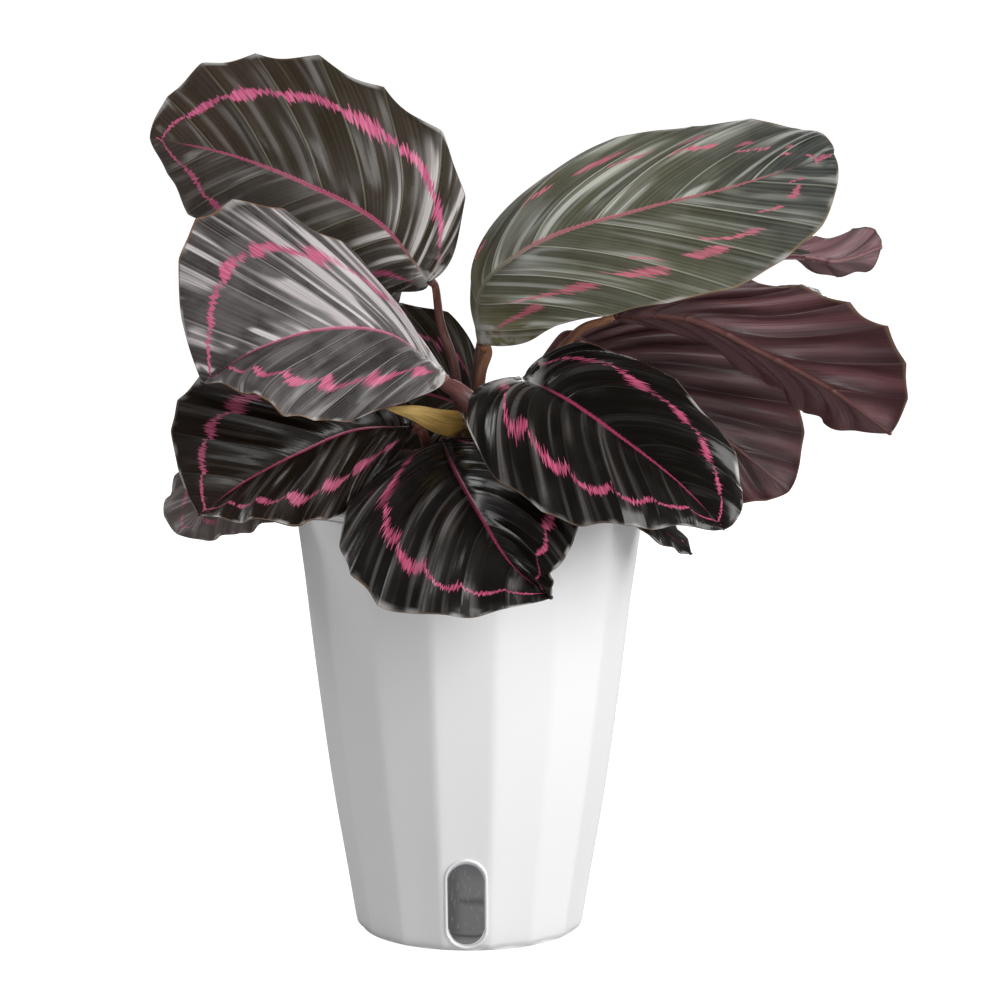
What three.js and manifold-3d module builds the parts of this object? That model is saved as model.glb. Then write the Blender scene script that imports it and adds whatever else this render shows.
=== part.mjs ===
// A potted calathea with dark, pink-ringed leaves in a fluted self-watering pot.
// Millimetres, +Z up, the pot's axis on Z and its foot on z = 0. The water window faces -Y.
import * as THREE from "three";
import { mergeVertices } from "three/addons/utils/BufferGeometryUtils.js";
import Module from "manifold-3d";

const wasm = await Module();
wasm.setup();

// The pot. Its wall bulges a little on the way from the foot to the rim: [height, radius].
const WALL_PROFILE = [
  [0, 49.2],
  [27, 53.6],
  [67, 60.3],
  [119, 67.2],
  [172, 73.2],
  [185, 75],
];
const FOOT_FILLET = 5;
const WALL = 2.4;
const FLOOR = 2.4;
const FLUTES = 16;
const FLUTE_DEPTH = 1.3;
const FLUTES_FADE_Z = 128;
const FLUTES_END_Z = 178;
const POT_SIDES = 48;
const FIT = 0.3; // what touching pieces keep between them

// The inner pot hangs by its lip on the outer pot and ends in a slotted foot in the water
const LIP_THICKNESS = 2;
const LINER_GAP = 2;
const LINER_WALL = 1.6;
const LINER_FLOOR_Z = 46;
const WICK_FOOT_RADIUS = 19;
const WICK_FOOT_Z = 6;
const WICK_SLOTS = 6;

// The water window
const WINDOW_WIDTH = 14.8;
const WINDOW_LOW_Z = 3.4;
const WINDOW_HIGH_Z = 40.4;
const WINDOW_THICKNESS = 3;
const WINDOW_TURN = -1.4; // degrees round the pot's axis
const WINDOW_PROUD = 0.8;
const SLOT_LIP = 1.2;

// The soil
const SOIL_Z = 172;
const SOIL_MOUND = 3;
const ROOT_DEPTH = 20;
const HOLE_GAP = 0.4;

// What every leaf shares
const BLADE_THICKNESS = 0.7;
const RIB_THICKNESS = 2;
const RIB_WIDTH_SHARE = 0.07;
const PLEAT_HEIGHT = 0.8;
const SCALLOP = 0.035;
const STALK_SIDES = 7;
const STALK_RINGS = 9;

const colour = (hex, roughness) =>
  new THREE.MeshStandardMaterial({ color: hex, roughness, metalness: 0 });
const WHITE_PLASTIC = colour(0xe9e9ea, 0.35);
const CLEAR_PLASTIC = colour(0x77787a, 0.15);
const LINER_PLASTIC = colour(0x8d8f92, 0.5);
const SOIL = colour(0x2b1d14, 0.95);
const BLACK_LEAF = colour(0x1d1616, 0.25);
const DARK_LEAF = colour(0x31291f, 0.25);
const GREY_LEAF = colour(0x4a4448, 0.25);
const GREEN_LEAF = colour(0x4d5640, 0.3);
const PURPLE_LEAF = colour(0x55353f, 0.5);
const STALK = colour(0x6e3a30, 0.5);
const OLIVE = colour(0x8a6a2c, 0.5);

// Each leaf. midrib: its points at even steps from the stalk to the tip. left and right: from the
// midrib to the margin at 15, 50 and 85 % of its length, as seen on the upper face with the tip
// ahead. cup: how far each half arches up between the midrib and the margin. wave: the margin's
// waves. veins: side veins drawn, 16 unless given. root: where the stalk stands in the soil. stalk:
// its radii in the soil, half way and at the blade.
const LEAVES = [
  {
    name: "leaf_upper_left",
    midrib: [[-17.5, 12, 280], [-39, 5, 306], [-70, -2, 323], [-102, 0, 335], [-136, 6, 342]],
    left: [[-5, 12, -22], [-12, 22, -50], [0, 12, -34]],
    right: [[27, 14, 12], [37, 24, 36], [10, 18, 36]],
    cup: [4, 6],
    wave: 2.2,
    root: [-5, 9],
    way: [[-4.5, 9, 215], [-6.7, 9.5, 243], [-12.5, 9.5, 262]],
    stalk: [3.2, 2.2, 1.5],
    material: DARK_LEAF,
  },
  {
    name: "leaf_middle_left",
    midrib: [[-11, -22, 245], [-34, -34, 262], [-60, -48, 265], [-86, -60, 258], [-109, -68, 245]],
    left: [[2, -22, -20], [-1, -22, -36], [8, -29, -10]],
    right: [[-4, 9, 12], [-13, 20, 46], [-22, 17, 48]],
    cup: [6, 4],
    wave: 1.8,
    root: [3, -9],
    way: [[8.5, -13, 198], [8, -19, 216], [3, -22, 228], [-4, -23, 236]],
    stalk: [3.2, 5.2, 2.2],
    material: GREY_LEAF,
  },
  {
    name: "leaf_lower_left",
    midrib: [[-24, -26, 222], [-48, -40, 222], [-70, -52, 214], [-92, -60, 203], [-111, -66, 190]],
    left: [[2, -8, -18], [14, -17, -25], [14, -21, -8]],
    right: [[2, 12, 17], [-19, 10, 36], [-23, 13, 30]],
    cup: [3, 3],
    wave: 1.6,
    root: [-14, -4],
    way: [[-15, -6, 195], [-18, -14, 212], [-20, -22, 219]],
    stalk: [3.2, 2.4, 1.7],
    material: BLACK_LEAF,
  },
  {
    name: "leaf_low_left_behind",
    midrib: [[-29, -5, 209], [-60, -8, 209], [-85, -10, 201], [-106, -11, 191], [-125, -12, 174]],
    left: [[10, -10, -10], [8, -24, -17], [11, -14, -10]],
    right: [[0, 15, 24], [-12, 16, 15], [-16, 18, 6]],
    cup: [3, 3],
    wave: 1.6,
    root: [-14, 6],
    stalk: [3.2, 2.2, 1.6],
    material: DARK_LEAF,
  },
  {
    name: "leaf_front",
    midrib: [[-11, -28, 216], [-5, -49, 205], [5, -75, 191], [18, -97, 174], [34, -112, 163]],
    left: [[25, -10, 8], [43, -4, 10], [12, -5, 6]],
    right: [[-37, -18, -11], [-53, -24, -19], [-35, -8, -14]],
    cup: [5, 5],
    wave: 1.8,
    root: [-6, -16],
    way: [[-6, -17, 195], [-8, -19, 208], [-10.5, -24, 215]],
    stalk: [3.2, 2.4, 1.8],
    material: BLACK_LEAF,
  },
  {
    name: "leaf_right",
    midrib: [[23, -34, 243], [42, -48, 235], [64, -64, 221], [85, -80, 206], [104, -94, 188]],
    left: [[6, 24, 16], [19, 26, 23], [19, 16, 8]],
    right: [[-35, -22, -7], [-37, -32, -24], [-21, -14, -9]],
    cup: [5, 6],
    wave: 1.8,
    root: [18, -20],
    way: [[18, -20, 205], [18, -22, 226], [21, -27, 236]],
    stalk: [3.2, 2.4, 1.8],
    material: BLACK_LEAF,
  },
  {
    name: "leaf_upper_right",
    midrib: [[4, -5, 255], [6, -8, 280], [32, -16, 300], [72, -24, 313], [113, -34, 324], [151, -42, 337]],
    left: [[1, 21, 14], [6, 38, 31], [8, 30, 21]],
    right: [[28, -24, -12], [26, -32, -32], [16, -22, -25]],
    cup: [5, 5],
    wave: 1.4,
    root: [4, 0],
    way: [[3.5, -1, 200], [3, -2, 220], [4.5, -3, 241]],
    stalk: [3.4, 2.6, 2.2],
    material: GREEN_LEAF,
  },
  {
    name: "leaf_right_underside",
    midrib: [[62, 6, 267], [94, 6, 264], [125, 2, 250], [154, -4, 235], [179, -12, 217]],
    left: [[-4, 20, -7], [2, 34, -15], [-15, 22, -8]],
    right: [[9, -14, 11], [13, 14, 28], [20, 14, 24]],
    cup: [3, 4],
    wave: 1.7,
    root: [13, 4],
    way: [[14, 4, 195], [28, 4, 234], [45, 4, 258]],
    stalk: [3.2, 2.2, 1.7],
    material: PURPLE_LEAF,
  },
  {
    name: "leaf_right_underside_low",
    midrib: [[45, 16, 255], [69, 30, 242], [93, 42, 223], [118, 48, 203], [141, 48, 184]],
    left: [[-15, -2, -20], [-20, -4, -31], [-14, -6, -16]],
    right: [[14, 20, 14], [30, 20, 25], [20, 10, 19]],
    cup: [3, 3],
    wave: 1.8,
    root: [14, 14],
    way: [[15, 15, 195], [25, 12, 232], [38, 12, 254]],
    stalk: [3.2, 2.2, 1.7],
    material: PURPLE_LEAF,
  },
  {
    name: "leaf_far_right_behind",
    veins: 10,
    midrib: [[101, 44, 281], [122, 52, 286], [143, 58, 287], [163, 62, 285], [182, 64, 291]],
    left: [[7, 16, -9], [1, 24, -3], [0, 14, -10]],
    right: [[1, 16, 8], [6, 24, 8], [5, 13, 12]],
    cup: [3, 3],
    wave: 1.6,
    root: [5, 10],
    way: [[4, 11, 200], [4, 13, 250], [20, 24, 281], [60, 38, 287]],
    stalk: [3, 1.9, 1.4],
    material: PURPLE_LEAF,
  },
  {
    name: "leaf_low_right_tip",
    veins: 10,
    midrib: [[40, -14, 206], [54, -22, 201], [68, -30, 192], [81, -38, 180], [93, -42, 170]],
    left: [[7, 18, 6], [5, 22, 4], [2, 9, 4]],
    right: [[-10, -10, -3], [-8, -15, -1], [-5, -8, -1]],
    cup: [2, 2],
    wave: 1.2,
    root: [26, -12],
    stalk: [2.8, 1.9, 1.4],
    material: BLACK_LEAF,
  },
  {
    name: "leaf_centre_behind",
    veins: 10,
    midrib: [[4, 20, 221], [-12, 26, 228], [-29, 31, 231], [-46, 34, 231], [-62, 35, 228]],
    left: [[-2, -5, -12], [0, -7, -27], [-2, -5, -18]],
    right: [[6, 8, 28], [3, 8, 37], [-3, 6, 26]],
    cup: [3, 3],
    wave: 1.6,
    root: [-4, 19],
    way: [[-2, 20, 200], [2, 20, 214]],
    stalk: [3, 2.1, 1.6],
    material: DARK_LEAF,
  },
  {
    name: "leaf_right_strip_behind",
    veins: 10,
    midrib: [[91, 77, 256], [110, 84, 261], [128, 90, 264], [145, 95, 265], [161, 100, 265]],
    left: [[1, 20, 1], [6, 24, 4], [5, 16, 3]],
    right: [[1, -17, -8], [3, -23, -8], [0, -17, -6]],
    cup: [2, 2],
    wave: 1.2,
    root: [14, 24],
    way: [[15, 27, 190], [40, 58, 218], [72, 74, 240]],
    stalk: [3, 1.8, 1.2],
    material: GREEN_LEAF,
  },
  {
    name: "leaf_back_left",
    midrib: [[-42, 50, 258], [-56, 70, 281], [-72, 91, 294], [-87, 111, 298], [-102, 130, 292]],
    left: [[-20, -14, -6], [-36, -26, -8], [-26, -18, -7]],
    right: [[20, 14, -1], [36, 26, -3], [26, 18, -3]],
    cup: [5, 5],
    wave: 1.8,
    root: [-14, 15],
    way: [[-15, 23, 186], [-21, 41, 206], [-30, 48, 236]],
    stalk: [3.2, 2.2, 1.7],
    material: DARK_LEAF,
  },
  {
    name: "leaf_back_low",
    midrib: [[10, 45, 212], [12, 70, 216], [15, 95, 208], [18, 119, 192], [22, 140, 170]],
    left: [[-27, -2, -3], [-44, 0, -6], [-30, 4, -6]],
    right: [[27, -2, -3], [44, -2, -6], [30, 4, -6]],
    cup: [5, 5],
    wave: 1.8,
    root: [5, 21],
    stalk: [3.2, 2.2, 1.7],
    material: DARK_LEAF,
  },
];

// The old leaf's bract stands in the soil and bends over to the left
const BRACT_PATH = [
  [-5, -5, 152], [-4, -7, 190], [-2, -8, 208], [0, -11, 219], [-4, -21, 222], [-13, -32, 225],
  [-23, -37, 229], [-34, -39, 231],
];
const BRACT_RADII = [2.4, 1.8, 5.2, 0.5];
const BRACT_FLATNESS = 0.4;

const { degToRad, lerp, smoothstep, clamp } = THREE.MathUtils;

// Repeatable scatter between 0 and 1 from two whole numbers
function scatter(a, b) {
  const s = Math.sin(a * 12.9898 + b * 78.233) * 43758.5453;
  return s - Math.floor(s);
}

function smoothCurve(points) {
  const vectors = points.map((p) => new THREE.Vector3(...p));
  return new THREE.CatmullRomCurve3(vectors, false, "catmullrom", 0.5);
}

// The wall's radius at a height, as a smooth curve through its profile
function wallRadius(z) {
  const last = WALL_PROFILE.length - 1;
  let i = 0;
  while (i < last - 1 && z > WALL_PROFILE[i + 1][0]) i++;
  const [z0, r0] = WALL_PROFILE[i];
  const [z1, r1] = WALL_PROFILE[i + 1];
  return lerp(r0, r1, (z - z0) / (z1 - z0));
}

// A blade's half width at a share of its length, as a share of its widest
const WIDEST_POWER = 0.85;
const FULLNESS = 0.62;
const outlineShare = (u) => Math.sin(Math.PI * clamp(u, 0, 1) ** WIDEST_POWER) ** FULLNESS;

// The midrib-to-margin vector at a share of the length, through the three that the leaf gives
const STATIONS = [0.15, 0.5, 0.85];
function reachAt(spans, u) {
  const out = new THREE.Vector3();
  STATIONS.forEach((here, i) => {
    let weight = 1 / outlineShare(here);
    STATIONS.forEach((other, j) => {
      if (j !== i) weight *= (u - other) / (here - other);
    });
    out.addScaledVector(new THREE.Vector3(...spans[i]), weight);
  });
  return out;
}

// Where the side vein at a share r crosses the flat half blade at a share v of the way out: it
// leaves the midrib steeply and sweeps forward to the margin
const VEIN_START_POWER = 1.4;
const VEIN_END_POWER = 1.6;
const SWEEP = 0.35;
const STEEPNESS = 0.6;
function flatPoint(r, v) {
  const start = r ** VEIN_START_POWER;
  const end = 1 - (1 - r) ** VEIN_END_POWER;
  const bend = 2 * v * (1 - v);
  const along = (1 - v) ** 2 * start + bend * (start + SWEEP * (end - start)) + v * v * end;
  return [along, (bend * STEEPNESS + v * v) * (r >= 1 ? 0 : outlineShare(end))];
}

// The half blade's smooth surface and the direction that its upper face looks in
function halfBlade(leaf, rib, side, along, reach) {
  const spans = side < 0 ? leaf.left : leaf.right;
  const out = reachAt(spans, along);
  const forward = rib.getTangent(clamp(along, 0.001, 0.999));
  const normal = side < 0 ? forward.clone().cross(out) : out.clone().cross(forward);
  normal.normalize();
  const outline = Math.max(outlineShare(along), 1e-3);
  const share = Math.min(1, reach / outline);
  const arch = leaf.cup[side < 0 ? 0 : 1] * 4 * share * (1 - share) * outline;
  const point = rib.getPoint(clamp(along, 0, 1)).addScaledVector(out, reach);
  return { point: point.addScaledVector(normal, arch), normal, share };
}

// The blade with its pleats and waves, at vein r, side -1 or 1, share v of the way out
function bladePoint(leaf, index, rib, r, side, v) {
  const [along, across] = flatPoint(r, v);
  const pleats = (leaf.veins ?? VEINS) / 2;
  const notch = 1 - SCALLOP * (1 - Math.abs(Math.cos(Math.PI * pleats * r))) * v ** 4;
  const { point, normal, share } = halfBlade(leaf, rib, side, along, across * notch);
  const other = halfBlade(leaf, rib, -side, along, 0).normal;
  normal.lerp(other, 0.5 * (1 - smoothstep(share, 0, 0.35))).normalize();
  const taper = Math.min(1, 6 * r, 6 * (1 - r));
  const pleat = PLEAT_HEIGHT * Math.cos(2 * Math.PI * pleats * r) * Math.sin(Math.PI * v * 0.8);
  const turn = Math.PI * pleats * r + 2 * Math.PI * scatter(index, side + 2);
  const ruffle = leaf.wave * Math.sin(turn) * v ** 3;
  point.addScaledVector(normal, (pleat + ruffle) * taper);
  return { point, normal, along };
}

// A blade as one closed body: the same triangles above and below, closed along the margin
const VEINS = 16;
const COLUMNS = [0, RIB_WIDTH_SHARE, 0.36, 0.7, 1];
function bladeGeometry(leaf, index) {
  const rib = smoothCurve(leaf.midrib);
  const rows = [0, 0.02];
  const veins = leaf.veins ?? VEINS;
  for (let i = 1; i < veins; i++) rows.push(i / veins);
  rows.push(0.98, 1);
  const columns = COLUMNS.slice(1).reverse().map((v) => [-1, v]);
  columns.push([1, 0], ...COLUMNS.slice(1).map((v) => [1, v]));
  const middle = COLUMNS.length - 1;
  const last = rows.length - 1;
  const positions = [];
  const grid = rows.map((r, i) =>
    columns.map(([side, v], j) => {
      if ((i === 0 || i === last) && j !== middle) return -1;
      const { point, normal, along } = bladePoint(leaf, index, rib, r, side, v);
      const keel = v === 0 ? RIB_THICKNESS * (1 - along) * Math.min(1, 0.2 + 12 * r) : 0;
      const top = point.clone().addScaledVector(normal, BLADE_THICKNESS / 2);
      const bottom = point.clone().addScaledVector(normal, -BLADE_THICKNESS / 2 - keel);
      positions.push(...top.toArray(), ...bottom.toArray());
      return positions.length / 3 - 2;
    }),
  );
  for (const end of [0, last]) grid[end] = grid[end].map(() => grid[end][middle]);
  const faces = [];
  const addFace = (a, b, c) => {
    if (a !== b && b !== c && c !== a) faces.push(a, b, c);
  };
  for (let i = 0; i < last; i++)
    for (let j = 0; j < columns.length - 1; j++) {
      const [a, b, c, d] = [grid[i][j], grid[i][j + 1], grid[i + 1][j + 1], grid[i + 1][j]];
      const halves = j < middle ? [[a, b, d], [b, c, d]] : [[a, b, c], [a, c, d]];
      for (const [p, q, s] of halves) {
        addFace(p, q, s);
        addFace(s + 1, q + 1, p + 1);
      }
    }
  const left = grid.map((row) => row[0]);
  const right = grid.map((row) => row[row.length - 1]);
  const loop = [...right, ...left.slice(1, last).reverse()];
  loop.forEach((a, i) => {
    const b = loop[(i + 1) % loop.length];
    faces.push(a, a + 1, b + 1, a, b + 1, b);
  });
  const geometry = new THREE.BufferGeometry();
  geometry.setAttribute("position", new THREE.Float32BufferAttribute(positions, 3));
  geometry.setIndex(faces);
  return geometry;
}

// A capped round bar bent along a curve, its radius given along the way. flat squeezes it in the
// direction that it keeps turned to +Y.
function bentBar(curve, radiusAt, sides, rings, flat = 1) {
  const bar = new THREE.CylinderGeometry(1, 1, 1, sides, rings);
  const at = bar.attributes.position;
  const corner = new THREE.Vector3();
  for (let i = 0; i < at.count; i++) {
    corner.fromBufferAttribute(at, i);
    const u = clamp(corner.y + 0.5, 0, 1);
    const radius = radiusAt(u);
    const forward = curve.getTangent(u);
    const across = new THREE.Vector3(0, 1, 0).cross(forward).normalize();
    const back = across.clone().cross(forward);
    const p = curve.getPoint(u);
    p.addScaledVector(across, corner.x * radius).addScaledVector(back, corner.z * radius * flat);
    at.setXYZ(i, p.x, p.y, p.z);
  }
  return bar;
}

// A stalk rises from its root, leans over and meets the blade's base from behind and below, clear
// of the lobes beside it. Where the leaf gives a way, the stalk passes through it.
const STALK_RISE = 0.5;
const STALK_SWING = 0.3;
const STALK_DROP = 0.35;
const STALK_BACK = 0.6;
function stalkCurve(leaf) {
  const base = new THREE.Vector3(...leaf.midrib[0]);
  const aim = smoothCurve(leaf.midrib).getTangent(0);
  const [x, y] = leaf.root;
  const foot = new THREE.Vector3(x, y, SOIL_Z - ROOT_DEPTH);
  const tall = base.distanceTo(foot);
  const rib = smoothCurve(leaf.midrib);
  const face = halfBlade(leaf, rib, 1, 0.05, 0).normal.add(halfBlade(leaf, rib, -1, 0.05, 0).normal);
  face.normalize();
  const under = STALK_DROP + 0.6 * leaf.stalk[2];
  const end = base.clone().addScaledVector(aim, -STALK_BACK).addScaledVector(face, -under);
  const neck = end.clone().addScaledVector(aim, -4).addScaledVector(face, -2.5);
  if (leaf.way) {
    const way = [...leaf.way, neck.toArray(), end.toArray()];
    return smoothCurve([foot.toArray(), [x, y, SOIL_Z + 6], ...way]);
  }
  const rise = foot.clone().setZ(foot.z + tall * STALK_RISE);
  const swing = end.clone().addScaledVector(aim, -tall * STALK_SWING);
  swing.addScaledVector(face, -tall * 0.1);
  swing.z = Math.max(swing.z, foot.z + tall * 0.3);
  return new THREE.CubicBezierCurve3(foot, rise, swing, end);
}

function stalkRadius(leaf) {
  const [low, middle, high] = leaf.stalk;
  return (u) => (u < 0.5 ? lerp(low, middle, u / 0.5) : lerp(middle, high, (u - 0.5) / 0.5));
}

const plant = new THREE.Group();

function addPiece(name, geometry, material) {
  const mesh = new THREE.Mesh(geometry, material);
  mesh.name = name;
  plant.add(mesh);
  return mesh;
}

// Solids to cut and join with
function toSolid(geometry) {
  const bare = new THREE.BufferGeometry();
  bare.setAttribute("position", geometry.getAttribute("position").clone());
  bare.setIndex(geometry.index ? geometry.index.clone() : null);
  const merged = mergeVertices(bare, 1e-4);
  return new wasm.Manifold(
    new wasm.Mesh({
      numProp: 3,
      vertProperties: new Float32Array(merged.attributes.position.array),
      triVerts: new Uint32Array(merged.index.array),
    }),
  );
}

function fromSolid(solid) {
  const { vertProperties, triVerts } = solid.getMesh();
  const geometry = new THREE.BufferGeometry();
  geometry.setAttribute("position", new THREE.Float32BufferAttribute(vertProperties, 3));
  geometry.setIndex([...triVerts]);
  return geometry;
}

const RIM_OUTER = 75.4;

// The outer pot: round, turned, its outer wall pushed in between the flutes' ridges
const RIM_Z = WALL_PROFILE[WALL_PROFILE.length - 1][0];
const fluteDepth = (z) => FLUTE_DEPTH * (1 - smoothstep(z, FLUTES_FADE_Z, FLUTES_END_Z));
function fluteAt(x, y, z) {
  const turn = Math.atan2(x, -y) / (2 * Math.PI) - WINDOW_TURN / 360;
  const share = (((turn * FLUTES + 0.5) % 1) + 1) % 1;
  return fluteDepth(z) * (1 - (2 * share - 1) ** 2);
}
const innerRadius = (z) => wallRadius(z) - fluteDepth(z) - WALL;

function outerPotGeometry() {
  const foot = wallRadius(0);
  const profile = [[0, 0], [foot - FOOT_FILLET, 0]];
  for (const turn of [25, 50, 72]) {
    const rise = FOOT_FILLET * (1 - Math.cos(degToRad(turn)));
    profile.push([foot - FOOT_FILLET * (1 - Math.sin(degToRad(turn))) + 0.15 * rise, rise]);
  }
  for (const z of [9, 27, 47, 67, 93, 119, 132, 146, 160, 172, RIM_Z - 1]) profile.push([wallRadius(z), z]);
  profile.push([wallRadius(RIM_Z) - 0.7, RIM_Z], [wallRadius(RIM_Z) - WALL + 0.7, RIM_Z]);
  for (const z of [RIM_Z - 1, 146, 93, 47, FLOOR]) profile.push([innerRadius(z), z]);
  const outerRows = profile.length - 6;
  profile.push([0, FLOOR]);
  const points = profile.map(([r, z]) => new THREE.Vector2(r, z));
  const pot = new THREE.LatheGeometry(points, POT_SIDES);
  pot.rotateX(Math.PI / 2);
  pot.rotateZ(degToRad(WINDOW_TURN));
  const at = pot.attributes.position;
  for (let i = 0; i < at.count; i++) {
    const row = i % points.length;
    if (row < 2 || row >= outerRows) continue;
    const [x, y, z] = [at.getX(i), at.getY(i), at.getZ(i)];
    const radius = Math.hypot(x, y);
    const kept = 1 - fluteAt(x, y, z) / radius;
    at.setXYZ(i, x * kept, y * kept, z);
  }
  return pot;
}

// A plate with round ends, standing on the wall's slope at the front of the foot
function windowPlate(grow, inner, outer) {
  const low = WINDOW_LOW_Z - grow;
  const high = WINDOW_HIGH_Z + grow;
  const half = WINDOW_WIDTH / 2 + grow;
  const shape = new THREE.Shape();
  shape.absarc(0, low + half, half, Math.PI, 2 * Math.PI, false);
  shape.absarc(0, high - half, half, 0, Math.PI, false);
  const depth = outer - inner;
  const plate = new THREE.ExtrudeGeometry(shape, { depth, bevelEnabled: false, curveSegments: 8 });
  plate.rotateX(Math.PI / 2);
  const slope = (wallRadius(high) - wallRadius(low)) / (high - low);
  const at = plate.attributes.position;
  for (let i = 0; i < at.count; i++) {
    const z = at.getZ(i);
    const face = wallRadius(low) - fluteDepth(20) + slope * (z - low);
    at.setY(i, at.getY(i) - inner - face);
  }
  plate.rotateZ(degToRad(WINDOW_TURN));
  return plate;
}

const pot = toSolid(outerPotGeometry());
const rimOfSlot = toSolid(windowPlate(SLOT_LIP, -1, WINDOW_PROUD));
const slot = toSolid(windowPlate(0, -8, 4));
addPiece("outer_pot", fromSolid(pot.add(rimOfSlot).subtract(slot)), WHITE_PLASTIC);
const pane = windowPlate(-FIT, WINDOW_PROUD - 0.2 - WINDOW_THICKNESS, WINDOW_PROUD - 0.2);
addPiece("water_window", pane, CLEAR_PLASTIC);

// The inner pot: lip, wall, floor and the foot that draws up water
const linerRadius = (z) => innerRadius(z) - LINER_GAP;
const LIP_Z = RIM_Z + FIT;
const TOP_Z = LIP_Z + LIP_THICKNESS;
function linerProfile() {
  const wall = LINER_WALL;
  const foot = WICK_FOOT_RADIUS;
  return [
    [0, WICK_FOOT_Z],
    [foot - 2, WICK_FOOT_Z],
    [foot, LINER_FLOOR_Z],
    [linerRadius(LINER_FLOOR_Z), LINER_FLOOR_Z],
    [linerRadius(93), 93],
    [linerRadius(146), 146],
    [linerRadius(SOIL_Z), SOIL_Z],
    [linerRadius(LIP_Z), LIP_Z],
    [RIM_OUTER, LIP_Z],
    [RIM_OUTER, TOP_Z - 0.6],
    [RIM_OUTER - 0.6, TOP_Z],
    [linerRadius(LIP_Z) - wall, TOP_Z],
    [linerRadius(SOIL_Z) - wall, SOIL_Z],
    [linerRadius(146) - wall, 146],
    [linerRadius(93) - wall, 93],
    [linerRadius(LINER_FLOOR_Z) - wall, LINER_FLOOR_Z + wall],
    [foot - wall, LINER_FLOOR_Z + wall],
    [foot - 2 - wall, WICK_FOOT_Z + wall],
    [0, WICK_FOOT_Z + wall],
  ];
}

function turned(profile, sides) {
  const points = profile.map(([r, z]) => new THREE.Vector2(r, z));
  const body = new THREE.LatheGeometry(points, sides);
  body.rotateX(Math.PI / 2);
  return body;
}

const LINER_SIDES = 32;
const SLOT_WIDTH = 3;
const SLOT_LOW_Z = 14;
const SLOT_HIGH_Z = 36;
let liner = toSolid(turned(linerProfile(), LINER_SIDES));
for (let i = 0; i < WICK_SLOTS; i++) {
  const cut = new THREE.BoxGeometry(10, SLOT_WIDTH, SLOT_HIGH_Z - SLOT_LOW_Z);
  cut.translate(WICK_FOOT_RADIUS, 0, (SLOT_LOW_Z + SLOT_HIGH_Z) / 2);
  cut.rotateZ(((i + 0.5) * 2 * Math.PI) / WICK_SLOTS);
  liner = liner.subtract(toSolid(cut));
}
addPiece("inner_pot", fromSolid(liner), LINER_PLASTIC);

// The soil fills the inner pot and its foot, with a low uneven mound on top
function soilGeometry() {
  const inside = (z) => linerRadius(z) - LINER_WALL - FIT;
  const foot = WICK_FOOT_RADIUS - LINER_WALL - FIT;
  const floor = LINER_FLOOR_Z + LINER_WALL + FIT;
  const rings = [0.86, 0.64, 0.42, 0.2];
  const profile = [
    [0, WICK_FOOT_Z + LINER_WALL + FIT],
    [foot - 2, WICK_FOOT_Z + LINER_WALL + FIT],
    [foot, floor],
    [inside(LINER_FLOOR_Z), floor],
    [inside(93), 93],
    [inside(146), 146],
    [inside(SOIL_Z - 1), SOIL_Z - 1],
    ...rings.map((share) => [share * inside(SOIL_Z), SOIL_Z]),
    [0, SOIL_Z + SOIL_MOUND],
  ];
  const sides = LINER_SIDES;
  const soil = turned(profile, sides);
  const at = soil.attributes.position;
  const rows = profile.length;
  for (let i = 0; i < at.count; i++) {
    const row = i % rows;
    if (row < rows - 1 - rings.length || row === rows - 1) continue;
    const side = Math.floor(i / rows) % sides;
    const share = rings[row - (rows - 1 - rings.length)];
    const lump = 2.2 * (scatter(row, side) - 0.5);
    at.setZ(i, SOIL_Z + SOIL_MOUND * (1 - share * share) + lump);
  }
  return soil;
}

const bractCurve = smoothCurve(BRACT_PATH);
function bractRadius(u) {
  const [low, middle, wide, tip] = BRACT_RADII;
  if (u < 0.5) return lerp(low, middle, u / 0.5);
  if (u < 0.62) return lerp(middle, wide, smoothstep(u, 0.5, 0.62));
  return lerp(wide, tip, ((u - 0.62) / 0.38) ** 1.6);
}

// The foot of everything that stands in the soil, grown for its hole
function holeFor(curve, radiusAt) {
  const hole = bentBar(curve, (u) => radiusAt(u) + HOLE_GAP, STALK_SIDES, STALK_RINGS);
  hole.translate(0, 0, -HOLE_GAP);
  return toSolid(hole);
}

let soil = toSolid(soilGeometry());
soil = soil.subtract(holeFor(bractCurve, bractRadius));
LEAVES.forEach((leaf, index) => {
  const curve = stalkCurve(leaf);
  const radius = stalkRadius(leaf);
  soil = soil.subtract(holeFor(curve, radius));
  addPiece(`${leaf.name}_blade`, bladeGeometry(leaf, index), leaf.material);
  addPiece(`${leaf.name}_stalk`, bentBar(curve, radius, STALK_SIDES, STALK_RINGS), STALK);
});
addPiece("soil", fromSolid(soil), SOIL);
const bract = bentBar(bractCurve, bractRadius, STALK_SIDES, 12, BRACT_FLATNESS);
addPiece("dry_bract", bract, OLIVE);

export default plant;
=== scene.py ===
# A potted calathea: a white fluted self-watering pot with a water window, its liner and soil,
# fifteen pleated leaves with pink rings on reddish stalks, and the dry bract of an old leaf.
# Lengths are metres unless a table says millimetres.
import math
import random
from functools import partial

import bmesh
import bpy
import numpy as np
from mathutils import Matrix, Vector, noise


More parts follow.
